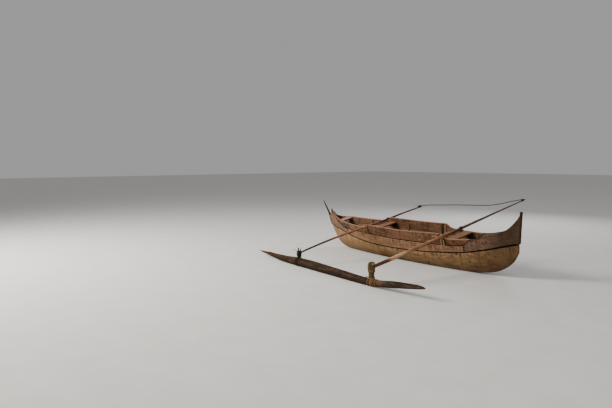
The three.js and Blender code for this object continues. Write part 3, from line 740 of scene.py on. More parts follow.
def mark_wall(made, edge_at, wall):
    """Marks how far a point lies below a long edge, in metres, and 1 for the inner face of a wall, else 0."""
    mark(made, "under_edge", lambda normal, x, y, z: (edge_at(x) - z) * MM)
    mark(made, "inside", lambda normal, x, y, z: float(side_half(x, z) - abs(y) > wall / 2))


DUGOUT_ENDS = (-2008, 1948)
DUGOUT_KEPT = (-1978, -1966)
DUGOUT_GAP = 24
DUGOUT_STEPS = 14
FLOOR_RISES = (1250, 1760)  # where the hollow's floor climbs towards both ends
HOLLOW_CLOSES = (1712, 1762)
LID = 30  # the hollow's round section is drawn this far past the log's edge


def log_profile(half, low, top, angle):
    """A point of the log's round section: 0 at the bottom, a right angle at the edge."""
    cos = max(math.cos(angle), 0)
    return half * math.sin(angle) ** LOG_FULL, low + (top - low) * (1 - cos**LOG_ROUND)


def dugout_ring(x):
    top = seam_at(x)
    low = log_low(x)
    half = skin_half(x, top)
    rise = smooth(*FLOOR_RISES, abs(x)) * (top - low) * 0.75
    floor = min(low + DUGOUT_FLOOR + rise, top - THINNEST)
    closed = smooth(*HOLLOW_CLOSES, abs(x))
    last = math.acos((LID / (top + LID - floor)) ** (1 / LOG_ROUND))
    outer = []
    inner = []
    for i in range(-DUGOUT_STEPS, DUGOUT_STEPS + 1):
        share = abs(i) / DUGOUT_STEPS
        side = -1 if i > 0 else 1
        y, z = log_profile(half, low, top, share * math.pi / 2)
        outer.append(leaned(x, side * y, z))
        y, z = log_profile(max(half - DUGOUT_WALL, THINNEST), floor, top + LID, share * last)
        inner.append(leaned(x, side * y, between(min(z, top), top, closed)))
    return outer + inner[::-1]


def dugout_wear(x, y, z):
    """Broad unevenness and tool marks, deeper in the hollow than outside."""
    broad = bumps(x, y, z, 230, 3.1)
    tool = bumps(x, 1.3 * y, 1.6 * z, 58, 9.4)
    if abs(y) < skin_half(x, seam_at(x)) - DUGOUT_WALL * 0.6 and z > keel_at(x) + DUGOUT_FLOOR * 0.7:
        cut = 1.6 + 1.4 * broad + 1.3 * abs(tool)
    else:
        cut = 0.9 + 0.8 * broad + 0.7 * abs(tool)
    return cut * smooth(4, 40, seam_at(x) - z)


made = loft([dugout_ring(x) for x in stations(*DUGOUT_ENDS, DUGOUT_GAP, *DUGOUT_KEPT)])
weather(made, dugout_wear)
mark_wall(made, seam_at, DUGOUT_WALL)
piece("dugout_log", made, log_wood, "dugout_log", ["dugout_hull"], crease=42, bevel=0.003)

PLANK_ROWS = (0, 0.12, 0.4, 0.7, 1)
PLANK_GAP = 25
PLANK_LEAST = 1.5  # height of a plank's feathered tip
EDGE_BAND = 13  # height of the band under its upper edge: wear on most planks, painted shade on the stern boards
EDGE_BAND_LEAN = 0.95  # where that band starts along a leaning end
# The outline of a dark patch with pale flecks on the port planks, as places along the hull and heights.
DARK_PATCH_OUTLINE = [
    (1326, 429), (1513, 542), (1410, 550), (1319, 548), (1234, 543), (1201, 509), (1204, 478), (1250, 445),
]
# Each kind of plank: its word in the CAD nodes, its wood and its slot
PLANKS = {
    "lower": ("strake", strake_wood, "planks"), "upper": ("strake", upper_wood, "planks"),
    "aft": ("strake", aft_wood, "planks"), "bow": ("board", bow_wood, "bow_boards"),
    "stern": ("board", stern_wood, "stern_boards"),
}


def depth_in(outline, x, z):
    """How deep a place lies inside an outline that is drawn against the clock, in metres."""
    depths = []
    for a, b in zip(outline, outline[1:] + outline[:1]):
        run = Vector((b[0] - a[0], b[1] - a[1])).normalized()
        depths.append(run.x * (z - a[1]) - run.y * (x - a[0]))
    return min(depths) * MM


def plank(kind, side, aft, fore, low_at, high_at, *kept):
    """A plank between two long lines; an end is one x, or two where it leans from bottom to top."""
    aft, fore = [end if isinstance(end, tuple) else (end, end) for end in (aft, fore)]
    margin = PLANK_GAP // 2
    inner = [(x, x) for x in stations(max(aft) + margin, min(fore) - margin, PLANK_GAP, *kept)]
    rings = []
    for low, high in [aft, *inner, fore]:
        z0 = low_at(low) + JOINT
        z1 = max(high_at(high), z0 + PLANK_LEAST)
        rows = [(between(low, high, t), between(z0, z1, t)) for t in PLANK_ROWS]
        rows.insert(-1, (between(low, high, EDGE_BAND_LEAN), max(z1 - EDGE_BAND, rows[-2][1])))
        outer = []
        hidden = []
        for x, z in rows:
            skin = skin_half(x, z)
            outer.append(leaned(x, side * skin, z))
            hidden.append(leaned(x, side * max(skin - PLANK, min(skin - THINNEST, STEM_TONGUE)), z))
        rings.append(outer + hidden[::-1])
    made = loft(rings)
    weather(made, lambda x, y, z: 0.5 + 0.5 * bumps(x, y, z, 170, side * 5.2))
    mark_wall(made, high_at, PLANK)
    mark(made, "over_seam", lambda normal, x, y, z: (z - low_at(x)) * MM)
    mark(made, "dark_patch_depth", lambda normal, x, y, z: depth_in(DARK_PATCH_OUTLINE, x, z) if side > 0 else -1)
    word = "port" if side > 0 else "starboard"
    node, material, slot = PLANKS[kind]
    replaced = [f"{kind}_{node}_{word}"]
    piece(f"{kind}_plank_{word}", made, material, slot, replaced, crease=42, bevel=0.0025)


def board_end(z, towards):
    return towards * ((bow_end_at if towards > 0 else stern_end_at)(z) - POST_FACE)


for side in SIDES:
    raised = raised_at[side]
    gunwale = gunwale_at[side]
    scarf = bow_scarf_at[side]
    bends = [x for x, _ in BOW_SCARF[side]]
    foot, tip = bends[0], bends[-1]
    plank(
        "lower", side, STERN_SCARF[0] + JOINT, BOW_SCARF_MEETS - FEATHER,
        lambda x: scarf(x) if x >= foot else seam_at(x), lambda x: middle_seam_at(x) - JOINT, *bends,
    )
    plank(
        "upper", side, STEP_X + JOINT, tip - FEATHER,
        lambda x: scarf(x) if x >= BOW_SCARF_MEETS else middle_seam_at(x),
        lambda x: raised(x) if x < RAISED_END else gunwale(x), -599, 560, 632, RAISED_END, *bends,
    )
    plank(
        "aft", side, STERN_SCARF[1] + FEATHER, STEP_X,
        lambda x: stern_scarf_at(x) if x <= STERN_SCARF[0] else middle_seam_at(x), gunwale, STERN_SCARF[0],
    )
    plank(
        "bow", side, foot + FEATHER, (board_end(434, 1), board_end(620, 1)), seam_at,
        lambda x: scarf(x) - JOINT if x < tip else gunwale(x), *bends, 1850 if side > 0 else 1905,
    )
    plank(
        "stern", side, (board_end(526, -1), board_end(960, -1)), STERN_SCARF[0] - JOINT, seam_at,
        lambda x: stern_scarf_at(x) - JOINT if x > STERN_SCARF[1] else gunwale(x), STERN_SCARF[1],
    )


CAD_WELD = 0.00003
CAD_FLAT = math.radians(1.2)
LONG_EDGE = 0.06


def recut(name, node, material, slot, bevel=0.002):
    """A CAD solid, merged, with its edges worn and its faces uneven."""
    made = bmesh.new()
    made.from_mesh(nodes[node].data)
    bmesh.ops.remove_doubles(made, verts=made.verts, dist=CAD_WELD)
    bmesh.ops.dissolve_limit(made, angle_limit=CAD_FLAT, verts=made.verts, edges=made.edges)
    long = [e for e in made.edges if e.calc_length() > LONG_EDGE]
    bmesh.ops.triangulate(made, faces=[f for f in made.faces if len(f.verts) > 4])
    bmesh.ops.subdivide_edges(made, edges=[e for e in long if e.is_valid], cuts=2, use_grid_fill=True)
    weather(made, lambda x, y, z: 0.5 + 0.5 * bumps(x, y, z, 45, 2.2))
    piece(name, made, material, slot, [node], crease=32, bevel=bevel)


SMALL = "thwarts_and_cleats"
recut("stem_head", "stem_post", post_wood, "end_posts", bevel=0.0015)
recut("stern_head", "stern_post", post_wood, "end_posts", bevel=0.0025)
for place in ("bow", "mid", "aft"):
    recut(f"{place}_seat_board", f"{place}_thwart", board_wood, SMALL, bevel=0.0035)
for node in sorted(nodes):
    if node.startswith("side_cleat"):
        recut(node.replace("side_cleat", "cleat"), node, cleat_wood, SMALL)
recut("batten_inside", "side_batten", board_wood, SMALL)
recut("dark_rib_inside", "side_rib", rib_wood, "side_rib")


# The booms, the tie pole, the float and its pegs. A boom's rows give dx, y, z and radius

FORE_BOOM = [
    (48, 1822, 518, 14.5), (38, 1450, 546, 16), (24, 1000, 569, 18), (8, 560, 578, 19.5), (2, 280, 578, 21),
    (-6, -280, 579, 19), (-18, -640, 594, 16), (-40, -930, 603, 13.5), (-56, -1170, 613, 11),
]
AFT_BOOM = [
    (-34, 1826, 577, 24), (-26, 1500, 571, 27), (-18, 1200, 568, 27.5), (-12, 850, 568, 27),
    (-8, 560, 570, 26), (-6, 280, 573.5, 24.5), (6, -280, 572, 23), (20, -800, 574, 20),
    (32, -1300, 578, 16.5), (44, -1800, 579, 13), (58, -2260, 577, 9),
]
TIE_ENDS = ((FORE_BOOM_X - 55, -1125, 631), (AFT_BOOM_X + 56, -2205, 594.5))
# How far the tie pole rises from the line between its ends, at shares along it
TIE_RISES = [
    (-0.03, -4), (0.02, 0), (0.1, 6), (0.2, -6), (0.3, -16), (0.4, -28), (0.55, -52), (0.66, -66),
    (0.75, -62), (0.88, -26), (0.98, -2), (1.03, 2),
]
TIE_RADIUS = 7.5

# A pole's knots: share along it, angle and height in radii
AFT_KNOTS = [
    (0.06, 0.4, 0.07), (0.17, 2.2, 0.09), (0.24, 5.1, 0.08), (0.36, 1.3, 0.1), (0.45, 3.6, 0.08),
    (0.62, 0.8, 0.1), (0.74, 2.7, 0.09), (0.86, 4.4, 0.1),
]
FORE_KNOTS = [
    (0.08, 1.1, 0.09), (0.2, 3.2, 0.08), (0.33, 0.3, 0.1), (0.47, 2.4, 0.09), (0.58, 5.0, 0.08),
    (0.71, 1.6, 0.1), (0.87, 3.9, 0.1),
]
TIE_KNOTS = [(0.12, 1.0, 0.12), (0.29, 4.0, 0.14), (0.51, 2.0, 0.14), (0.67, 5.2, 0.12), (0.83, 3.0, 0.14)]


def knotty(knots, rough, seed):
    """Relief for a pole: low unevenness and its knots."""

    def relief(t, angle, point):
        around = round_about(angle) * 0.9
        uneven = noise.noise(around + point * 6 + Vector((seed, 0, 0)))
        fine = noise.noise(around * 3 + point * 40 + Vector((0, seed, 0)))
        low = rough * (1.1 + 0.8 * uneven + 0.4 * fine)
        for where, side, height in knots:
            turn = math.remainder(angle - side, TURN)
            low -= height * math.exp(-((t - where) * 55) ** 2 - (turn * 1.6) ** 2)
        return max(low, 0)

    return relief


for name, table, x, sides, gap, knots, rough, seed, material in (
    ("aft", AFT_BOOM, AFT_BOOM_X, 22, 0.02, AFT_KNOTS, 0.035, 1.3, boom_wood),
    ("fore", FORE_BOOM, FORE_BOOM_X, 20, 0.018, FORE_KNOTS, 0.045, 4.7, fore_boom_wood),
):
    rows = [(leaned(x + dx, y, z), r * MM) for dx, y, z, r in table]
    made = stick(rows, sides, gap, knotty(knots, rough, seed))
    # How far each point faces down, for the painted shade under the boom.
    mark(made, "underside", lambda normal, x, y, z: max(-normal.z, 0))
    piece(f"{name}_pole", made, material, "booms", [f"{name}_boom"], crease=50, bevel=0.0025)

rows = []
for t, rise in TIE_RISES:
    x, y, z = [between(a, b, t) for a, b in zip(*TIE_ENDS)]
    rows.append((leaned(x, y, z + rise), TIE_RADIUS * MM))
tie = stick(rows, 12, 0.012, knotty(TIE_KNOTS, 0.07, 8.1))
piece("tie_stick", tie, stick_wood, "tie_pole", ["tie_pole"], crease=50, bevel=0.0012)

# The float: places along it, and the rise and radius there
FLOAT = [
    (-1866, 151, 8), (-1840, 144, 16), (-1783, 132, 25), (-1705, 118, 32), (-1624, 104, 36), (-1542, 90, 40),
    (-1458, 76, 44), (-1284, 48, 48.5), (-1103, 24, 47.5), (-912, 7, 50), (-713, 1, 54), (-503, 0, 58),
    (-284, 0, 62), (-53, 0, 65), (191, 0, 69), (447, 0, 71), (718, 0, 70), (1004, 1, 61), (1153, 5, 55),
    (1307, 13, 49), (1465, 30, 38), (1628, 44, 32), (1796, 58, 20), (1899, 70, 12), (1969, 79, 4),
]
FLOAT_SUNK = WEAR * 0.8
FLOAT_SIDES = 56
FLOAT_GAP = 14
float_rise_at = curve([(x, rise) for x, rise, _ in FLOAT])
float_radius_at = curve([(x, r) for x, _, r in FLOAT])


def float_centre(x):
    return Vector((x, FLOAT_Y + TO_KEEL + FLOAT_TOE * x, float_radius_at(x) + float_rise_at(x) - FLOAT_SUNK))


def bark_relief(x, angle, radius):
    """How deep the float's skin lies under its round outline, in millimetres."""
    around = round_about(angle)
    furrow = noise.noise(around * 2.6 + Vector((0, 0, x / 260)))
    split = noise.noise(around * (radius / 9) + Vector((0, 0, x / 120 + 7)))
    rough = noise.noise(around * (radius / 4) + Vector((0, 0, x / 28 - 3)))
    deep = 1.2 + 1.3 * furrow + 1.8 * max(0.25 - abs(split), 0) / 0.25 + 0.5 * rough
    return max(deep, 0) * min(radius / 30, 1)


def float_ring(x, sides, low, reach_at):
    """Points round the float, in millimetres, none lower than `low`."""
    ring = []
    for k in range(sides):
        angle = TURN * k / sides
        at, reach = reach_at(angle)
        place = float_centre(at) + Vector((0, math.cos(angle) * reach, math.sin(angle) * reach))
        place.z = max(place.z, low)
        ring.append(place)
    return ring


rings = []
for x in stations(FLOAT[0][0], FLOAT[-1][0], FLOAT_GAP):
    radius = float_radius_at(x)
    ring = float_ring(x, FLOAT_SIDES, 0, lambda angle: (x, radius - bark_relief(x, angle, radius)))
    rings.append([p * MM for p in ring])
piece("float_trunk", loft(rings), float_wood, "float_log", ["float_log"])

PEG_SINK = 62
# Each peg: its boom and place, x, radius, the height of its top, and its lean along and across
PEGS = [
    ("aft", "rear", -977, 13, 338, -5, -6), ("aft", "front", -902, 13, 324, -1, -4),
    ("fore", "rear", 712, 10.5, 284, -2, -4), ("fore", "front", 764, 11, 296, 3, -5),
]
for boom, place, x, r, top, lean_x, lean_y in PEGS:
    y = float_centre(x).y
    foot = float_centre(x).z + float_radius_at(x) - PEG_SINK
    rows = [
        (x, y, foot, r * 0.8), (x, y, foot + PEG_SINK, r), (x + lean_x, y + lean_y, top - 12, r),
        (x + lean_x * 1.05, y + lean_y * 1.05, top, r * 0.62),
    ]
    rows = [(Vector(row[:3]) * MM, row[3] * MM) for row in rows]
    made = stick(rows, 14, 0.008, knotty([(0.55, 2.0, 0.12)], 0.06, x))
    finish = peg_wood if boom == "aft" else stick_wood
    replaced = [f"{boom}_peg_{place}"]
    piece(f"{boom}_stake_{place}", made, finish, "pegs", replaced, crease=50, bevel=0.0015)


# Ropes. A path for a rope is a list of points in metres, and whether it closes on itself

def path(points, closed=False):
    return [p * MM for p in points], closed


def craft_path(rows, closed=True):
    return [leaned(*row) for row in rows], closed


CORD = 4.2
CORD_PITCH = 8.6
SLACK = 0.8


def oval_turns(centre, low, high, half):
    """One rope wound round the pegs, between two heights, as a flattened helix."""
    turns = (high - low) / CORD_PITCH
    count = int(turns * 28)
    found = []
    for i in range(count + 1):
        angle = TURN * turns * i / count
        across, over = [math.copysign(abs(v) ** 0.7, v) for v in (math.cos(angle), math.sin(angle))]
        slack = SLACK * hum(i * 0.31, low, 0)
        reach = ((half[0] - CORD + slack) * across, (half[1] - CORD + slack) * over)
        found.append(centre + Vector((*reach, low + CORD_PITCH * turns * i / count)))
    return path(found)


def standing_loop(centre, share, rows, clear):
    """A loop up the near face of the pegs, over the boom's end and down the far face. `share` is its
    place in the fan, and beside the boom each face keeps its distance from the boom's axis."""
    found = []
    for face, keep in zip((1, -1), clear):
        strand = []
        for height, half, out, beside in rows:
            offset = share * half
            if beside:
                offset = math.copysign(max(abs(offset), keep), share)
            strand.append(centre + Vector((offset, face * out, height)))
        found += strand[::face]
    return path(found, True)


def fan(centre, shares, rows, stagger, clear):
    """Standing loops side by side, each second one further out."""
    found = []
    for k, share in enumerate(shares):
        moved = [(z, half, out + stagger * (k % 2), beside) for z, half, out, beside in rows]
        found.append(standing_loop(centre, share, moved, clear))
    return found


def coil(centre, radius, turns, gap, wide):
    """A short knot: turns side by side round a line along the craft."""
    found = []
    count = int(turns * 14)
    for i in range(count + 1):
        angle = TURN * turns * i / count
        found.append(centre + Vector((
            gap * (turns * i / count - turns / 2), wide * radius * math.cos(angle), radius * math.sin(angle),
        )))
    return found


def above_float(x):
    """A place straight above the float's axis, at the height of the ground."""
    return Vector((x, float_centre(x).y, 0))


def loose_end(centre, *points):
    return path([centre + Vector(p) for p in points])


# Rows of a fan: height, half its width, distance out, and whether it passes beside the boom
AFT_FAN = [
    (116, 15, 12, False), (140, 23, 20, False), (180, 28, 21, False), (225, 36, 22, True),
    (262, 43, 24, True), (295, 38, 22, True), (316, 34, 17, False), (332, 14, 9, False),
]
AFT_SHARES = (-1, -0.84, -0.66, -0.48, -0.31, -0.12, 0.1, 0.28, 0.46, 0.62, 0.8, 0.97)
FORE_FAN = [
    (146, 20, 14, False), (165, 26, 20, False), (184, 28, 22, True), (200, 30, 23, True), (224, 26, 20, True),
    (243, 12, 10, False),
]
FORE_SHARES = (-1, -0.72, -0.4, 0.45, 0.75, 1)
AFT_BIND = above_float(-940)
FORE_BIND = above_float(738)

loops = fan(AFT_BIND, AFT_SHARES, AFT_FAN, 5, (0, 31))
rope("aft_peg_loops", loops, CORD, peg_rope, "peg_rope", ["aft_peg_binding"])
cinches = [oval_turns(AFT_BIND, 199, 227, (56, 34)), oval_turns(AFT_BIND, 118, 133, (53, 30))]
rope("aft_peg_turns", cinches, CORD, peg_rope, "peg_rope")
collar = [
    oval_turns(AFT_BIND, 106, 115, (57, 30)),
    loose_end(AFT_BIND, (48, 14, 111), (66, 17, 109), (86, 15, 108), (112, 8, 108)),
    path(coil(AFT_BIND + Vector((84, 14, 112)), 8, 3.5, 8, 1.3)),
]
rope("aft_peg_collar", collar, CORD, pale_rope, "peg_rope")
turns = [
    *fan(FORE_BIND, FORE_SHARES, FORE_FAN, 4, (20, 20)), oval_turns(FORE_BIND, 148, 178, (41, 28)),
    oval_turns(FORE_BIND, 224, 242, (40, 24)),
    loose_end(FORE_BIND, (26, 20, 232), (62, 22, 250), (96, 18, 259), (114, 17, 262)),
]
rope("fore_peg_turns", turns, CORD, dark_rope, "peg_rope", ["fore_peg_binding"])

BAND_CORD = 3.8


def float_turn(x, tilt):
    """One slanting turn round the float, pressed flat where the float lies on the ground."""

    def reach_at(angle):
        at = x + tilt * math.sin(angle)
        return at, float_radius_at(at) + BAND_CORD * 0.45

    return path(float_ring(x, 40, BAND_CORD * 1.06, reach_at), True)


bands = [float_turn(x + pair, 3) for x in (-1040, -996, -968, -948, -904) for pair in (-4, 4)]
rope("aft_float_turns", bands, BAND_CORD, tan_rope, "peg_rope", ["aft_float_lashing"])
bands = [float_turn(738 + 8 * k, 1.5) for k in range(-3, 4)]
rope("fore_float_turns", bands, BAND_CORD, dark_rope, "peg_rope", ["fore_float_lashing"])

GUNWALE_CORD = 4.6
PROUD = GUNWALE_CORD * 0.8


def plank_faces(x, z, proud):
    """Places just outside and just inside a plank."""
    skin = skin_half(x, z)
    return (x, skin + proud, z), (x, skin - PLANK - proud, z)


def gunwale_turn(boom, offset, low, hand, side, rank):
    """A turn from a hole in the plank up one flank of the boom, over it and down behind the plank."""
    x, z, r = boom
    foot = x + offset
    clear = r + PROUD + 1.2 * abs(rank)
    middle = skin_half(x, z) - PLANK / 2 + rank * 5.5
    shoulder = 0.72 * clear
    waist = between(low, z - r, 0.75)
    hole = plank_faces(foot, low, PROUD)
    flanks = [y + rank * 2 for _, y, _ in plank_faces(x, z, PROUD)]
    rising = plank_faces(between(foot, x + hand * clear, 0.7), waist, PROUD)
    falling = plank_faces(between(foot, x - hand * clear, 0.7), waist, PROUD)
    rows = [
        hole[0], rising[0], (x + hand * clear, flanks[0], z - 0.15 * r),
        (x + hand * shoulder, middle + 7, z + shoulder), (x, middle, z + clear),
        (x - hand * shoulder, middle - 7, z + shoulder), (x - hand * clear, flanks[1], z - 0.15 * r),
        falling[1], hole[1],
    ]
    return craft_path([(px, side * py, pz) for px, py, pz in rows])


# Each lashing: where it passes the boom, the boom's radius there, its side and rope, and its turns' feet
LASHINGS = [
    ("fore_dark_turns_port", ["fore_lashing_port"], (692, 578, 21), 1, lash_rope,
     [(-18, 452, -1), (47, 432, 1), (117, 421, 1), (190, 410, 1)]),
    ("fore_pale_turns_port", [], (692, 578, 21), 1, pale_rope, [(10, 440, 1), (84, 426, 1), (144, 416, 1)]),
    # The starboard lashings use dark rope: painted shade on the far side.
    ("fore_turns_starboard", ["fore_lashing_starboard"], (684, 579, 19), -1, dark_rope,
     [(-28, 455, -1), (-14, 455, -1), (16, 455, 1), (30, 455, 1)]),
    # These dark turns between the pale ones stand for the shade in the gaps between strands: painted shade.
    ("aft_dark_turns_port", ["aft_lashing_port"], (-911, 573.5, 24.5), 1, dark_rope,
     [(-62, 455, -1), (-46, 450, -1), (-3, 440, -1), (34, 446, 1)]),
    ("aft_pale_turns_port", [], (-911, 573.5, 24.5), 1, pale_rope,
     [(-30, 438, -1), (-14, 440, -1), (14, 438, 1), (22, 438, 1)]),
    # Dark rope here too: painted shade on the far side.
    ("aft_turns_starboard", ["aft_lashing_starboard"], (-899, 572, 23), -1, dark_rope,
     [(-34, 455, -1), (-18, 455, -1), (20, 455, 1), (34, 455, 1)]),
]
for name, replaced, boom, side, material, feet in LASHINGS:
    start = (len(feet) - 1) / 2 - (0.5 if material is pale_rope else 0)
    turns = [gunwale_turn(boom, *row, side, k - start) for k, row in enumerate(feet)]
    rope(name, turns, GUNWALE_CORD, material, "rope", replaced)


def boom_wrap(start, stop, pitch, phase=0.0):
    """A rope wound round the aft boom between two places across the craft."""
    axis = [curve([(row[1], row[k]) for row in AFT_BOOM]) for k in (0, 2, 3)]
    turns = abs(stop - start) / pitch
    count = int(turns * 18)
    found = []
    for i in range(count + 1):
        y = between(start, stop, i / count)
        dx, z, r = [line_at(y) for line_at in axis]
        angle = TURN * (turns * i / count + phase)
        reach = r + GUNWALE_CORD * 0.7
        found.append((AFT_BOOM_X + dx + reach * math.cos(angle), y, z + reach * math.sin(angle)))
    return craft_path(found, False)


wraps = [boom_wrap(286, 252, 9.5), boom_wrap(250, 60, 76), boom_wrap(250, 60, 76, 0.3)]
rope("aft_boom_turns", wraps, GUNWALE_CORD, pale_rope, "rope")


EDGE_CORD = 3.6
EDGE_PROUD = 3.4
EDGE_HOLE = (-849, 583)


def edge_tie(z):
    """A cord along both faces of the raised plank's end, through the hole near its edge."""
    places = [(-742, z), (-790, z), (-828, between(z, EDGE_HOLE[1], 0.5)), EDGE_HOLE]
    outer, inner = zip(*[plank_faces(*place, EDGE_PROUD) for place in places])
    return craft_path(outer + inner[::-1])


rope("edge_ties", [edge_tie(z) for z in (557, 569, 581)], EDGE_CORD, pale_rope, "rope")
KNOT_CORD = 5.5
knot = coil(Vector((774, skin_half(774, 560) - PLANK / 2, 556)), 13, 5, 12, 1.2)
rope("fore_gunwale_knot", [craft_path(knot, False)], KNOT_CORD, cream_rope, "rope")

TIE_CORD = 3.2
TIE_SECTION = [(-0.5, 1), (0.5, 1), (1, 0.78), (1, 0.22), (0.5, 0), (-0.5, 0), (-1, 0.22), (-1, 0.78)]
CROSSED = [(0.45, 0.89, 24), (0.89, -0.45, 17)]  # direction and half width of each way round


def tie_turn(end, boom_r, dx, dy, wide, shift):
    """A turn round the boom's tip and the tie pole that rests on it."""
    x, y, z = end
    top = z + TIE_RADIUS + TIE_CORD * 0.8
    low = z - TIE_RADIUS - 2 * boom_r - TIE_CORD * 0.8
    return craft_path([
        (x + dx * wide * across - dy * shift, y + dy * wide * across + dx * shift, between(low, top, up))
        for across, up in TIE_SECTION
    ])


for name, end, boom_r in (("fore_tie", TIE_ENDS[0], 11.5), ("aft_tie", TIE_ENDS[1], 9.5)):
    turns = [tie_turn(end, boom_r, *way, shift) for way in CROSSED for shift in (-6, 0, 6)]
    rope(f"{name}_turns", turns, TIE_CORD, dark_rope, "rope", [f"{name}_lashing"])


# Seams, treenails, knots and cracks

def bead(rows, side, wide, proud, seed):
    """A bead pressed into a seam, along rows of (x, z) on the hull's skin. `wide` may vary along it."""
    rings = []
    for i, (x, z) in enumerate(rows):
        run = on_skin(*rows[min(i + 1, len(rows) - 1)], side) - on_skin(*rows[max(i - 1, 0)], side)
        out = outward(x, z, side)
        over = run.cross(out).normalized()
        end = min(i + 1, len(rows) - i, 3) / 3
        width = wide(x) if callable(wide) else wide
        half = width / 2 * (0.82 + 0.36 * hum(x / 34, seed, 0))
        half *= 0.25 + 0.75 * end
        lump = proud * (0.75 + 0.6 * hum(x / 23, seed, 5)) * (0.3 + 0.7 * end)
        wander = 0.18 * half * hum(x / 60, seed, 9)
        centre = on_skin(x, z, side) + over * wander * MM
        ring = [(-1, -2.4), (-0.72, 0.35 * lump), (-0.3, lump), (0.3, lump), (0.72, 0.35 * lump), (1, -2.4)]
        rings.append([centre + (over * half * share + out * rise) * MM for share, rise in ring])
    return loft(rings)


def line(low, high, at, gap=14):
    return [(x, at(x)) for x in stations(low, high, gap)]


seam_width = curve([
    (-2010, 46), (-1850, 48), (-1700, 44), (-1450, 36), (-1150, 30), (-300, 27), (600, 27), (1300, 30),
    (1940, 26),
])
scarf_width = curve([(1246, 16), (1330, 24), (1420, 34), (1640, 34), (1760, 16)])
beads = []
for side in SIDES:
    bow_scarf = BOW_SCARF[side]
    for rows, wide, proud, seed in (
        (line(-2004, 1944, seam_at), seam_width, 0.9, 3.0),
        (line(-1230, BOW_SCARF_MEETS - FEATHER, middle_seam_at), 18, 0.7, 7.0),
        (line(-1370, -1236, stern_scarf_at), 10, 0.7, 11.0),
        (line(bow_scarf[0][0] + 6, bow_scarf[-1][0] - 6, bow_scarf_at[side], 8), scarf_width, 0.8, 13.0),
        ([(STERN_SCARF[0], z) for z in range(346, 458, 12)], 6, 0.9, 17.0),
        ([(STEP_X, z) for z in range(445, 550, 12)], 4, 0.6, 23.0),
    ):
        beads.append(bead(rows, side, wide, proud, seed * side))
piece("seam_caulking", joined(beads), dark_caulk, "planks")


def boss(x, z, side, radius, proud, sides=16, ragged=0.0, tall=1.0):
    """A low round head on the hull's skin: a treenail, a knot, a stain, and once a dark disc of painted shade
    for a hole.
    """
    out = outward(x, z, side)
    centre = on_skin(x, z, side)
    over = out.cross(Vector((1, 0, 0))).normalized()
    run = over.cross(out)
    rings = []
    for share, rise in ((1.0, -2.5), (0.96, 0.35 * proud), (0.6, proud), (0.15, proud)):
        ring = []
        for k in range(sides):
            angle = TURN * k / sides
            cos, sin = math.cos(angle), math.sin(angle)
            reach = radius * share * (1 + ragged * hum(cos * 1.4 + x, sin * 1.4 + z, side))
            ring.append(centre + (run * cos * reach + over * sin * reach * tall + out * rise) * MM)
        rings.append(ring)
    return loft(rings)


def nail_rows(side):
    """The treenails of one side: places along it, the seam that each belongs to, and how far above it."""
    rows = []
    for k, x in enumerate(range(-1150, 1200, 205)):
        shift = 14 * math.sin(k * 2.3 + side)
        rows += [(x + shift, seam_at, 24), (x + 60 + shift, seam_at, -24)]
        rows.append((x + 96 + shift, middle_seam_at, -20))
        if x > STEP_X + 60:
            rows.append((x + 30 - shift, middle_seam_at, 21))
    for places, at, up in (
        ((-1960, -1820, -1650, -1480, -1320), seam_at, 26), ((1330, 1500, 1660, 1800, 1900), seam_at, 24),
        ((-1260, -1300, -1345), stern_scarf_at, -26),
        ((1350, 1430, 1510, 1590, 1670), bow_scarf_at[side], -24),
    ):
        rows += [(x, at, up) for x in places]
    return rows


NAIL = 4.5
nails = [boss(x, at(x) + up, side, NAIL, 0.9, 10) for side in SIDES for x, at, up in nail_rows(side)]
piece("treenails", joined(nails), peg_wood, SMALL, crease=40)

# Knots: x, height and radius
KNOTS = [
    (-576, 98, 19), (-533, 241, 12), (84, 392, 14), (-1093, 507, 15), (-1232, 472, 12), (-1321, 209, 11),
    (-1500, 300, 8), (-1180, 160, 9), (-820, 200, 10), (-250, 170, 11), (320, 150, 9), (610, 215, 8),
    (930, 120, 10), (-700, 380, 7), (-330, 360, 6), (420, 340, 7), (880, 400, 6), (-1690, 330, 9),
    (-1588, 537, 13), (-1500, 500, 7), (-1540, 502, 7), (-1245, 432, 12), (-1247, 408, 9), (-1120, 312, 13),
    (-502, 530, 14),
]
knots = [(x, z, 1, r) for x, z, r in KNOTS] + [(x * 0.93 + 37, z * 0.96, -1, r) for x, z, r in KNOTS]
# The last spot is a dark disc of painted shade where the lashing hole goes through the raised plank.
spots = [boss(*knot, 1.0, 16, 0.5, 0.8) for knot in knots] + [boss(*EDGE_HOLE, 1, 17, 0.4, 16, 0.3, 0.85)]
piece("dark_knots_and_hole_shade", joined(spots), dark_caulk, "dugout_log")
piece("red_smear", boss(1262, 251, 1, 9, 0.4, 14, 0.5, 1.3), red_stain, "dugout_log")
spots = [
    boss(-498, 484, 1, 12, 0.6, 16, 0.4), boss(910, 505, 1, 8, 0.6, 16, 0.4),
    boss(-1450, 240, -1, 12, 0.6, 16, 0.4), boss(-706, 419, 1, 9, 0.6, 12, 0.5),
]
piece("pale_knots", joined(spots), board_wood, "planks")

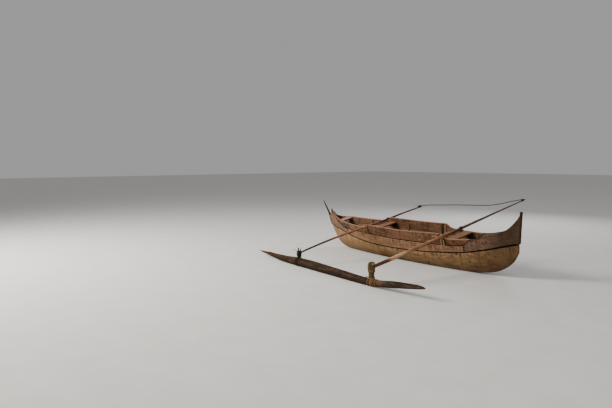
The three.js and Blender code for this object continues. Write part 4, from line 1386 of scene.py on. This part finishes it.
# Both ends of each crack, the height of the first, and the rise to the other
CRACKS = [
    (-1640, -1210, 268, -10), (-1120, -820, 92, 6), (-560, -160, 205, -8), (60, 520, 96, 9),
    (700, 1180, 232, 12), (-930, -640, 262, 5), (1120, 1450, 176, 14), (-1500, -1330, 150, -12),
    (330, 610, 52, 4),
]
cracks = []
for side in SIDES:
    for k, (low, high, z, drift) in enumerate(CRACKS):
        rows = []
        for x in stations(low, high, 16):
            t = (x - low) / (high - low)
            rows.append((x, z + drift * t + 5 * hum(x / 90, k, side)))

        def opened(x):
            return 1 + 3.2 * math.sin(math.pi * (x - low) / (high - low))

        cracks.append(bead(rows, side, opened, 0.25, k))
piece("log_cracks", joined(cracks), dark_caulk, "dugout_log")


# Floor and light

FLOOR_HALF = 60
FLOOR_BELOW = 0.0005
LIGHT_WIDTH = 4.0


def lay_floor():
    made = bmesh.new()
    bmesh.ops.create_grid(made, x_segments=1, y_segments=1, size=FLOOR_HALF)
    mesh = bpy.data.meshes.new("pale_floor")
    made.to_mesh(mesh)
    made.free()
    mesh.transform(Matrix.Translation((0, 0, -FLOOR_BELOW)))
    finish = Finish("pale_floor")
    speckle = finish.noise((3, 3, 3), 6.0, 0.6)
    finish.ramp(speckle, (0.3, (216, 214, 210)), (0.7, (224, 222, 218)))
    mesh.materials.append(finish.done(0.9, speckle, 0.001, 0.2))
    floor = placed("pale_floor", mesh)


lay_floor()


def hang_light(name, place, power, colour):
    """A round lamp that faces the middle of the canoe."""
    data = bpy.data.lights.new(name, "AREA")
    data.shape = "DISK"
    data.size = LIGHT_WIDTH
    data.energy = power
    data.color = colour
    facing = Vector(place).to_track_quat("Z", "Y").to_matrix().to_4x4()
    placed(name, data).matrix_world = Matrix.Translation(place) @ facing


hang_light("key_light", (5.0, 8.6, 5.6), 1500, (1.0, 0.96, 0.9))
hang_light("side_light", (-6.5, 4.0, 6.0), 110, (1.0, 0.96, 0.92))
hang_light("back_light", (2.0, -7.0, 4.5), 200, (0.95, 0.97, 1.0))
world = bpy.data.worlds.new("soft_sky")
world.use_nodes = True
sky = world.node_tree.nodes["Background"]
sky.inputs["Color"].default_value = (0.86, 0.86, 0.87, 1)
sky.inputs["Strength"].default_value = 0.42
bpy.context.scene.world = world
